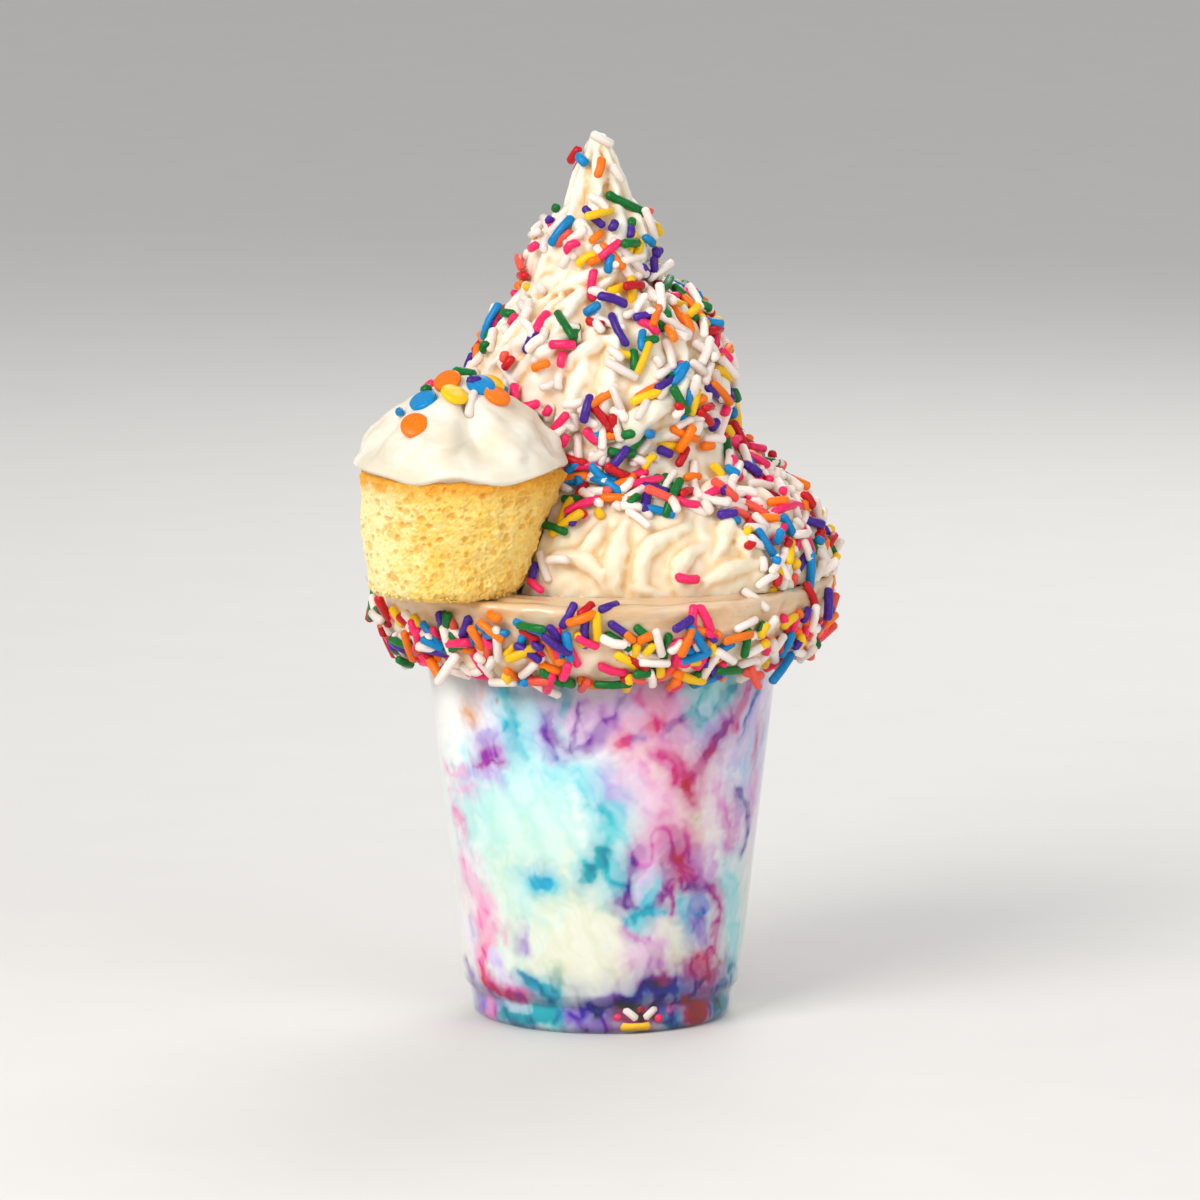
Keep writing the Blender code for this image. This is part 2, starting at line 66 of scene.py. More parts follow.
# The camera, as the photograph was taken
VIEW_FROM = np.array([-0.5, -2000.0, 417.0])
VIEW_AT = (-0.5, 0.0, 104.0)
LENS, SENSOR = 243.6, 36.0

# The clear cup, as in the frame
CUP_HEIGHT = 111.0
CUP_RIM_RADIUS = 47.5
CUP_RIM_BEAD = 1.5
CUP_WALL = 0.6
CUP_FOOT_RADIUS = 33.0
CUP_FOOT_HEIGHT = 6.6
CUP_HEEL = 3.0
CUP_SHOULDER_RADIUS = 34.6
CUP_SHOULDER_HEIGHT = 9.6
CUP_WALL_TOP_RADIUS = 45.8
CUP_WALL_TOP_HEIGHT = 108.0
CUP_PAD_RADIUS = 8.0
CUP_RECESS_RADIUS = 26.5
CUP_RECESS_DEPTH = 2.2
CUP_COLUMNS = 160
AXIS = 0.01  # the radius of a closed form where it meets its axis
GAP = 0.3

# The filling
INTO_WALL = 0.06  # how far it reaches into the cup's wall, so no air shows between
FILLING_COLUMNS = 560
FILLING_STEP = 0.5

# The icing collar
COLLAR_TOP_RADIUS = 56.8
COLLAR_EDGE = 1.6
COLLAR_BOTTOM = 91.0
COLLAR_WAVE = 0.7
COLLAR_COLUMNS = 320
COLLAR_STEP = 0.9

# The piped swirl
SWIRL_BASE = CUP_HEIGHT + GAP
FLUTE_WIDTH = 9.4
ROPE_TURNS = (-0.5, 2.42)
ROPE_GRID = (1400, 110)
SPINDLE_GRID = (60, 90)
SWIRL_VOXEL = 0.7
POINT_LEVELS = (186, 198, 206, 212, 217, 221)
POINT_RADII = (9.4, 8.6, 7.2, 5.4, 3.4, 1.5)
CORE_LEVELS = (112, 128, 145, 155, 165, 180, 186, 193, 200)
CORE_RADII = (35.5, 34.5, 30.5, 27.5, 24, 15.5, 13, 9.5, 4)

# Along the climb: the rope's middle radius, height, half length and half depth, and lean,
# then how deep its flutes are and how far they slant
TIERS = (-0.5, 0.0, 1.0, 2.0, 2.5)
TIER_RADIUS = (33.6, 32.1, 19.8, 6.9, 2.4)
TIER_HEIGHT = (108.0, 123.0, 164.0, 193.0, 202.0)
TIER_HALF_LENGTH = (22.0, 22.5, 19.5, 12.5, 9.0)
TIER_HALF_DEPTH = (11.5, 11.5, 11.0, 7.6, 5.5)
TIER_LEAN = (45.0, 45.0, 26.0, 24.0, 12.0)
TIER_FLUTE_DEPTH = (3.2, 3.2, 2.4, 1.5, 1.0)
TIER_SLANT = (0.2, 0.2, 1.9, 1.4, 0.8)

# The cupcake
CAKE_BASE_CENTRE = (-38.6, -34.5)
CAKE_TOP_CENTRE = (-34.6, -33.5)
CAKE_BASE_RADIUS = 18.6
CAKE_TOP_RADIUS = 24.8
CAKE_HEIGHT = 28.2
CAKE_SUNK = 3.4  # how far the cake's side runs on up, inside the frosting
CAKE_GRID = (135, 640)
PORES = 2400
CRUMBS = 260

# The frosting: its dome's radii as shares of its radius, at shares of its height, and how far
# its lower edge stands above the cake's rim, at angles from the front
FROSTING_RADIUS = 24.6
FROSTING_HEIGHT = 25.0
FROSTING_GRID = (130, 300)
DOME_LEVELS = (0.0, 0.04, 0.14, 0.3, 0.45, 0.6, 0.75, 0.9, 1.0)
DOME_RADII = (0.93, 0.985, 1.0, 0.965, 0.87, 0.72, 0.52, 0.26, 0.08)
HEM_ANGLES = (-180, -120, -90, -67, -45, -24, -4, 25, 52, 69, 110, 180)
HEM_RISE = (2.2, 1.2, 2.2, 2.6, 2.2, 0.3, 3.1, 0.3, 2.4, 3.2, 1.4, 2.2)

# The sprinkles
ROD_RADIUS = 1.16
ROD_ROUNDS = 8
ROD_SHARES = (0.62, 1.0, 1.0, 1.0, 0.62)  # the radius of each ring of a rod, as shares of its own
ROD_LENGTHS = (3.2, 5.0, 6.5, 7.5, 8.5, 9.6)
LENGTH_SHARES = (0.1, 0.16, 0.24, 0.24, 0.16, 0.1)
STANDING = 0.2  # the share of scattered rods with one end off the surface
SWIRL_SCATTERED, SWIRL_APART, SWIRL_WHITE = 960, 2.5, 0.5
COLLAR_SCATTERED, COLLAR_APART, COLLAR_WHITE = 500, 2.1, 0.27
FOOT_ROD_RADIUS, FOOT_ROD_DEPTH = 1.25, 0.75
DISC_RADIUS = 3.5
DISC_HALF = 0.75
DISC_ROUNDS = 28


def tint(code):
    """A colour given as six hexadecimal digits, as the linear values that shaders take."""
    parts = [int(code[i : i + 2], 16) / 255 for i in (0, 2, 4)]
    return tuple(c / 12.92 if c <= 0.04045 else ((c + 0.055) / 1.055) ** 2.4 for c in parts)


MILK = tint("F8F5F0")
CREAM = tint("F1F0E6")
CANDY = {
    "white": tint("F6E8DE"),
    "pink": tint("F82A68"),
    "red": tint("C8141E"),
    "coral": tint("F25846"),
    "orange": tint("FA7A08"),
    "yellow": tint("F8C410"),
    "green": tint("04702A"),
    "blue": tint("0284C4"),
    "violet": tint("472390"),
    "lilac": tint("B486CE"),
}
# How many of the sprinkles that aren't white have each colour
CANDY_SHARES = {
    "pink": 0.19,
    "red": 0.11,
    "coral": 0.07,
    "orange": 0.16,
    "yellow": 0.14,
    "green": 0.11,
    "blue": 0.10,
    "violet": 0.12,
}

# Shader maths


class Amount:
    """A result of a material's node. Python's + and * on it make Math nodes."""

    def __init__(self, paint, socket):
        self.paint = paint
        self.socket = socket

    def math(self, operation, other):
        """One Math node of this amount and another."""
        return self.paint.node("ShaderNodeMath", {"operation": operation}, {0: self, 1: other})

    def __add__(self, other):
        return self.math("ADD", other)

    __radd__ = __add__

    def __mul__(self, other):
        return self.math("MULTIPLY", other)

    def step(self, low, high):
        """0 at low and 1 at high, with a smooth change between."""
        return self.paint.node(
            "ShaderNodeMapRange",
            {"interpolation_type": "SMOOTHSTEP", "clamp": True},
            {"Value": self, "From Min": low, "From Max": high},
        )


class Paint:
    """A material in the making, around one Principled shader."""

    def __init__(self, name, soft=None, **constants):
        """soft is how much light goes under the skin, how deep in millimetres, and how far
        its red, green and blue go. constants are the shader's other plain values."""
        self.material = bpy.data.materials.new(name)
        self.material.use_nodes = True
        self.tree = self.material.node_tree
        self.shader = self.tree.nodes["Principled BSDF"]
        self.output = self.tree.nodes["Material Output"]
        if soft:
            weight, depth, spread = soft
            constants["Subsurface_Weight"] = weight
            constants["Subsurface_Scale"] = depth * MM
            constants["Subsurface_Radius"] = spread
        for socket, value in constants.items():
            self.set(socket.replace("_", " "), value)
        self.place = self.node("ShaderNodeTexCoord", {}, {}, "Object")

    def node(self, kind, settings, values, result=0):
        """Adds a node: its settings first, then its sockets, and returns one result."""
        made = self.tree.nodes.new(kind)
        for name, setting in settings.items():
            setattr(made, name, setting)
        for socket, value in values.items():
            self.feed(made.inputs[socket], value)
        return Amount(self, made.outputs[result])

    def feed(self, socket, value):
        """Links an amount to a socket, or sets a plain value or a colour on it."""
        if isinstance(value, Amount):
            self.tree.links.new(value.socket, socket)
        elif socket.type == "RGBA":
            socket.default_value = (*value, 1.0)
        else:
            socket.default_value = value

    def set(self, socket, value):
        """Feeds a socket of the Principled shader."""
        self.feed(self.shader.inputs[socket], value)

    def noise(self, scale, detail=3.0, roughness=0.5, distortion=0.0, place=None):
        """Blender's noise, about 1/scale metres from lump to lump."""
        values = {
            "Vector": place or self.place,
            "Scale": scale,
            "Detail": detail,
            "Roughness": roughness,
            "Distortion": distortion,
        }
        return self.node("ShaderNodeTexNoise", {}, values)

    def tone(self):
        """The colours that the mesh carries as its attribute named tone."""
        return self.node("ShaderNodeAttribute", {"attribute_name": "tone"}, {}, "Color")

    def blend(self, factor, first, second, mode="MIX"):
        """Two colours mixed by a factor."""
        return self.node(
            "ShaderNodeMix",
            {"data_type": "RGBA", "blend_type": mode, "clamp_factor": True},
            {0: factor, 6: first, 7: second},
            2,
        )

    def bump(self, height, distance, strength):
        """Fine relief, distance millimetres high, on the shader's normal."""
        values = {"Height": height, "Distance": distance * MM, "Strength": strength}
        self.set("Normal", self.node("ShaderNodeBump", {}, values))


# Meshes from arrays


def linked(name, data):
    """A new object in the scene."""
    made = bpy.data.objects.new(name, data)
    bpy.context.scene.collection.objects.link(made)
    return made


def piece_of(name, shape, material, stands_for=(), tones=None):
    """Makes a piece from points (n, 3) in millimetres and arrays of faces, and places it.

    tones is an (n, 3) array of linear colours, kept as the attribute named tone.
    """
    points, faces = shape
    mesh = bpy.data.meshes.new(name)
    mesh.vertices.add(len(points))
    mesh.vertices.foreach_set("co", (points * MM).astype(np.float32).ravel())
    corners = np.concatenate([face.ravel() for face in faces])
    sizes = np.concatenate([np.full(len(face), face.shape[1]) for face in faces])
    starts = np.concatenate([[0], np.cumsum(sizes)[:-1]])
    mesh.loops.add(len(corners))
    mesh.loops.foreach_set("vertex_index", corners.astype(np.int32))
    mesh.polygons.add(len(sizes))
    mesh.polygons.foreach_set("loop_start", starts.astype(np.int32))
    mesh.update(calc_edges=True)
    mesh.validate()
    mesh.shade_smooth()
    if tones is not None:
        flat = np.concatenate([tones, np.ones((len(tones), 1))], axis=1).astype(np.float32)
        mesh.color_attributes.new("tone", "FLOAT_COLOR", "POINT")
        mesh.color_attributes["tone"].data.foreach_set("color", flat.ravel())
    mesh.materials.append(material)
    made = linked(name, mesh)
    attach(made, "root")
    if stands_for:
        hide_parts(*stands_for)
    return made


def ring_faces(rows, columns, joined=False):
    """Quads of a grid whose columns close on themselves, and its rows too if joined."""
    row = np.arange(rows if joined else rows - 1)[:, None]
    column = np.arange(columns)[None, :]
    following = (row + 1) % rows
    beside = (column + 1) % columns
    corners = [row * columns + column, row * columns + beside]
    corners += [following * columns + beside, following * columns + column]
    return np.stack(np.broadcast_arrays(*corners), axis=-1).reshape(-1, 4)


def closed_faces(rows, columns):
    """Quads of a grid that closes round, and a fan from its first row and from its last to a
    pole. The poles are numbered after the grid's points."""
    column = np.arange(columns)
    beside = (column + 1) % columns
    last = (rows - 1) * columns
    pole = np.full(columns, rows * columns)
    low = np.stack([beside, column, pole], axis=-1)
    high = np.stack([last + column, last + beside, pole + 1], axis=-1)
    return [ring_faces(rows, columns), low, high]


def with_poles(grid):
    """A grid's points and faces, closed by the middle of its first row and of its last."""
    poles = np.stack([grid[0].mean(axis=0), grid[-1].mean(axis=0)])
    return np.concatenate([grid.reshape(-1, 3), poles]), closed_faces(*grid.shape[:2])


def merged(shapes):
    """The points and faces of several closed forms as one."""
    points, faces, start = [], [], 0
    for its_points, its_faces in shapes:
        points.append(its_points)
        faces += [face + start for face in its_faces]
        start += len(its_points)
    return np.concatenate(points), faces


def copied(faces, each, count):
    """Faces repeated for count forms of the same make, each with that many points."""
    offset = each * np.arange(count)[:, None, None]
    return [(part[None] + offset).reshape(-1, part.shape[1]) for part in faces]


def around(columns):
    """Angles of a full turn, evenly apart."""
    return np.linspace(0, 2 * np.pi, columns, endpoint=False)


def carried(reach, turn, height, centre=(0.0, 0.0)):
    """Points at a reach from an upright axis, at an angle round it and at a height."""
    parts = (centre[0] + reach * np.cos(turn), centre[1] + reach * np.sin(turn), height)
    return np.stack(np.broadcast_arrays(*parts), axis=-1)


def turned(profile, columns):
    """A grid of points: each (radius, height) of the profile carried once round the Z axis."""
    radius, height = np.asarray(profile, float).T
    return carried(radius[:, None], around(columns)[None, :], height[:, None])


def arc(centre, radius, start, end, steps):
    """Points of an arc in (radius, height), from one angle to another in degrees."""
    angle = np.radians(np.linspace(start, end, steps))
    return list(zip(centre[0] + radius * np.cos(angle), centre[1] + radius * np.sin(angle)))


def along(profile, step):
    """The same outline with a point at every corner and about every step millimetres."""
    points = []
    for first, second in zip(profile, profile[1:]):
        count = max(1, round(math.dist(first, second) / step))
        shares = np.arange(count) / count
        points += [tuple(np.add(first, s * np.subtract(second, first))) for s in shares]
    return points + [tuple(profile[-1])]


def eased(value, low, high):
    """0 at low and 1 at high, with a smooth change between."""
    share = np.clip((value - low) / (high - low), 0.0, 1.0)
    return share * share * (3.0 - 2.0 * share)


def ripple(points, size, seed, waves=14):
    """Smooth noise from about -1 to 1: the sum of sine waves about size millimetres long,
    each with its own seeded direction and phase."""
    rng = np.random.default_rng(seed)
    ways = rng.normal(size=(waves, 3))
    ways /= np.linalg.norm(ways, axis=1, keepdims=True)
    ways *= (2 * np.pi / size) * rng.uniform(0.6, 1.5, (waves, 1))
    phases = rng.uniform(0, 2 * np.pi, waves)
    total = np.zeros(points.shape[:-1])
    for way, phase in zip(ways, phases):
        total += np.sin(points @ way + phase)
    return total / math.sqrt(waves) / 1.2


def drift(points, size, seed, ways):
    """Ripples that move each point in two or three ways, from seeds that follow each other."""
    return np.stack([ripple(points, size, seed + k) for k in range(ways)], axis=-1)


def layered(base, layers):
    """A colour at each point: the base, with each layer's colour mixed in by its share."""
    tones = np.array(tint(base))
    for share, code in layers:
        tones = tones * (1 - share[:, None]) + np.array(tint(code)) * share[:, None]
    return tones


def unit(vectors):
    """Vectors brought to a length of one."""
    return vectors / np.maximum(np.linalg.norm(vectors, axis=-1, keepdims=True), 1e-9)


def numbers(places):
    """Places written as pairs with a comma, as an array."""
    return np.array([[float(n) for n in place.split(",")] for place in places.split()])


def listed(rows):
    """The name and the places of each row of a table."""
    for row in rows.split(";"):
        name, places = row.split(maxsplit=1)
        yield name, numbers(places)


def read(rows, name, width, kind=np.float32):
    """One property of a mesh's points or faces, as an array of that width."""
    flat = np.empty(width * len(rows), kind)
    rows.foreach_get(name, flat)
    return flat.reshape(-1, width)


def places_of(mesh):
    """A mesh's points as an array, in millimetres."""
    return read(mesh.vertices, "co", 3).astype(float) / MM


def tree_of(made):
    """A search tree over a piece's faces, in millimetres."""
    made.data.calc_loop_triangles()
    corners = read(made.data.loop_triangles, "vertices", 3, np.int32)
    return BVHTree.FromPolygons(
        places_of(made.data).tolist(), corners.tolist(), all_triangles=True
    )


def seen(tree, x, up):
    """Where the line of sight through (x, up) on the cup's middle plane meets a surface."""
    way = np.array([x, 0.0, up]) - VIEW_FROM
    hit, out, _, _ = tree.ray_cast(Vector(VIEW_FROM), Vector(unit(way)))
    return (None, None) if hit is None else (np.array(hit), np.array(out))


# The cup


def wall_radius(height):
    """The radius of the cup's tapered outer wall at a height above the shoulder."""
    share = (height - CUP_SHOULDER_HEIGHT) / (CUP_WALL_TOP_HEIGHT - CUP_SHOULDER_HEIGHT)
    return CUP_SHOULDER_RADIUS + share * (CUP_WALL_TOP_RADIUS - CUP_SHOULDER_RADIUS)


def inside_profile(inset):
    """The cup's inner surface, bottom to top, moved inwards by inset."""
    thick = CUP_WALL + inset
    foot = CUP_FOOT_RADIUS - thick
    recess_top = CUP_RECESS_DEPTH + thick
    heel = CUP_HEEL - CUP_WALL
    profile = [
        (0.0, recess_top),
        (CUP_RECESS_RADIUS - 0.6 * thick, recess_top),
        (CUP_RECESS_RADIUS + 1.4, thick),
        *arc((foot - heel, thick + heel), heel, -90, 0, 9),
        (foot, CUP_FOOT_HEIGHT + 0.3),
        (wall_radius(CUP_SHOULDER_HEIGHT + 0.6) - thick, CUP_SHOULDER_HEIGHT + 0.6),
        (wall_radius(60.0) - thick, 60.0),
        (CUP_WALL_TOP_RADIUS - thick, CUP_WALL_TOP_HEIGHT),
    ]
    return [(max(radius, AXIS), height) for radius, height in profile]


def make_cup():
    """The thin clear cup: its closed section, out, up, over the rim and back inside, turned
    about the axis."""
    foot, heel, bead = CUP_FOOT_RADIUS, CUP_HEEL, CUP_RIM_BEAD
    profile = [
        (AXIS, 0.0),
        (CUP_PAD_RADIUS, 0.0),
        (CUP_PAD_RADIUS + 1.2, CUP_RECESS_DEPTH),
        (CUP_RECESS_RADIUS - 1.2, CUP_RECESS_DEPTH),
        (CUP_RECESS_RADIUS, 0.0),
        *arc((foot - heel, heel), heel, -90, 0, 9),
        (foot, CUP_FOOT_HEIGHT - 0.6),
        (foot + 0.15, CUP_FOOT_HEIGHT + 0.2),
        (foot + 0.9, CUP_FOOT_HEIGHT + 1.3),
        (foot + 1.4, CUP_FOOT_HEIGHT + 2.0),
        (CUP_SHOULDER_RADIUS, CUP_SHOULDER_HEIGHT),
        (wall_radius(14.0), 14.0),
        (wall_radius(60.0), 60.0),
        (CUP_WALL_TOP_RADIUS, CUP_WALL_TOP_HEIGHT),
        *arc((CUP_RIM_RADIUS - bead, CUP_HEIGHT - bead), bead, -55, 205, 14),
        *reversed(inside_profile(0.0)),
    ]
    shape = with_poles(turned(profile, CUP_COLUMNS))
    made = piece_of("cup_shell", shape, clear_plastic(), ["cup"])
    made.data.set_sharp_from_angle(angle=math.radians(50))


def clear_plastic():
    """Thin clear plastic: glossy, and clear to lamp light so that what it holds is lit."""
    paint = Paint("clear_plastic", Base_Color=tint("FBFDFF"), IOR=1.46, Transmission_Weight=1.0)
    smears = paint.noise(38.0, 4.0, 0.55).step(0.45, 0.8)
    paint.set("Roughness", 0.03 + smears * 0.05)
    lamp = paint.node("ShaderNodeLightPath", {}, {}, "Is Shadow Ray")
    clear = paint.node("ShaderNodeBsdfTransparent", {}, {"Color": tint("FAFCFF")})
    surface = Amount(paint, paint.shader.outputs["BSDF"])
    mixed = paint.node("ShaderNodeMixShader", {}, {0: lamp, 1: surface, 2: clear})
    paint.feed(paint.output.inputs["Surface"], mixed)
    return paint.material


# The marbled yogurt

MARBLE_RADIUS = 40.0  # the wall's mean radius, which turns an angle into a distance
CURLS = ((15.0, 0.6, 1), (6.0, 0.6, 3), (3.0, 0.2, 5), (1.6, 0.06, 11))  # size, reach, seed

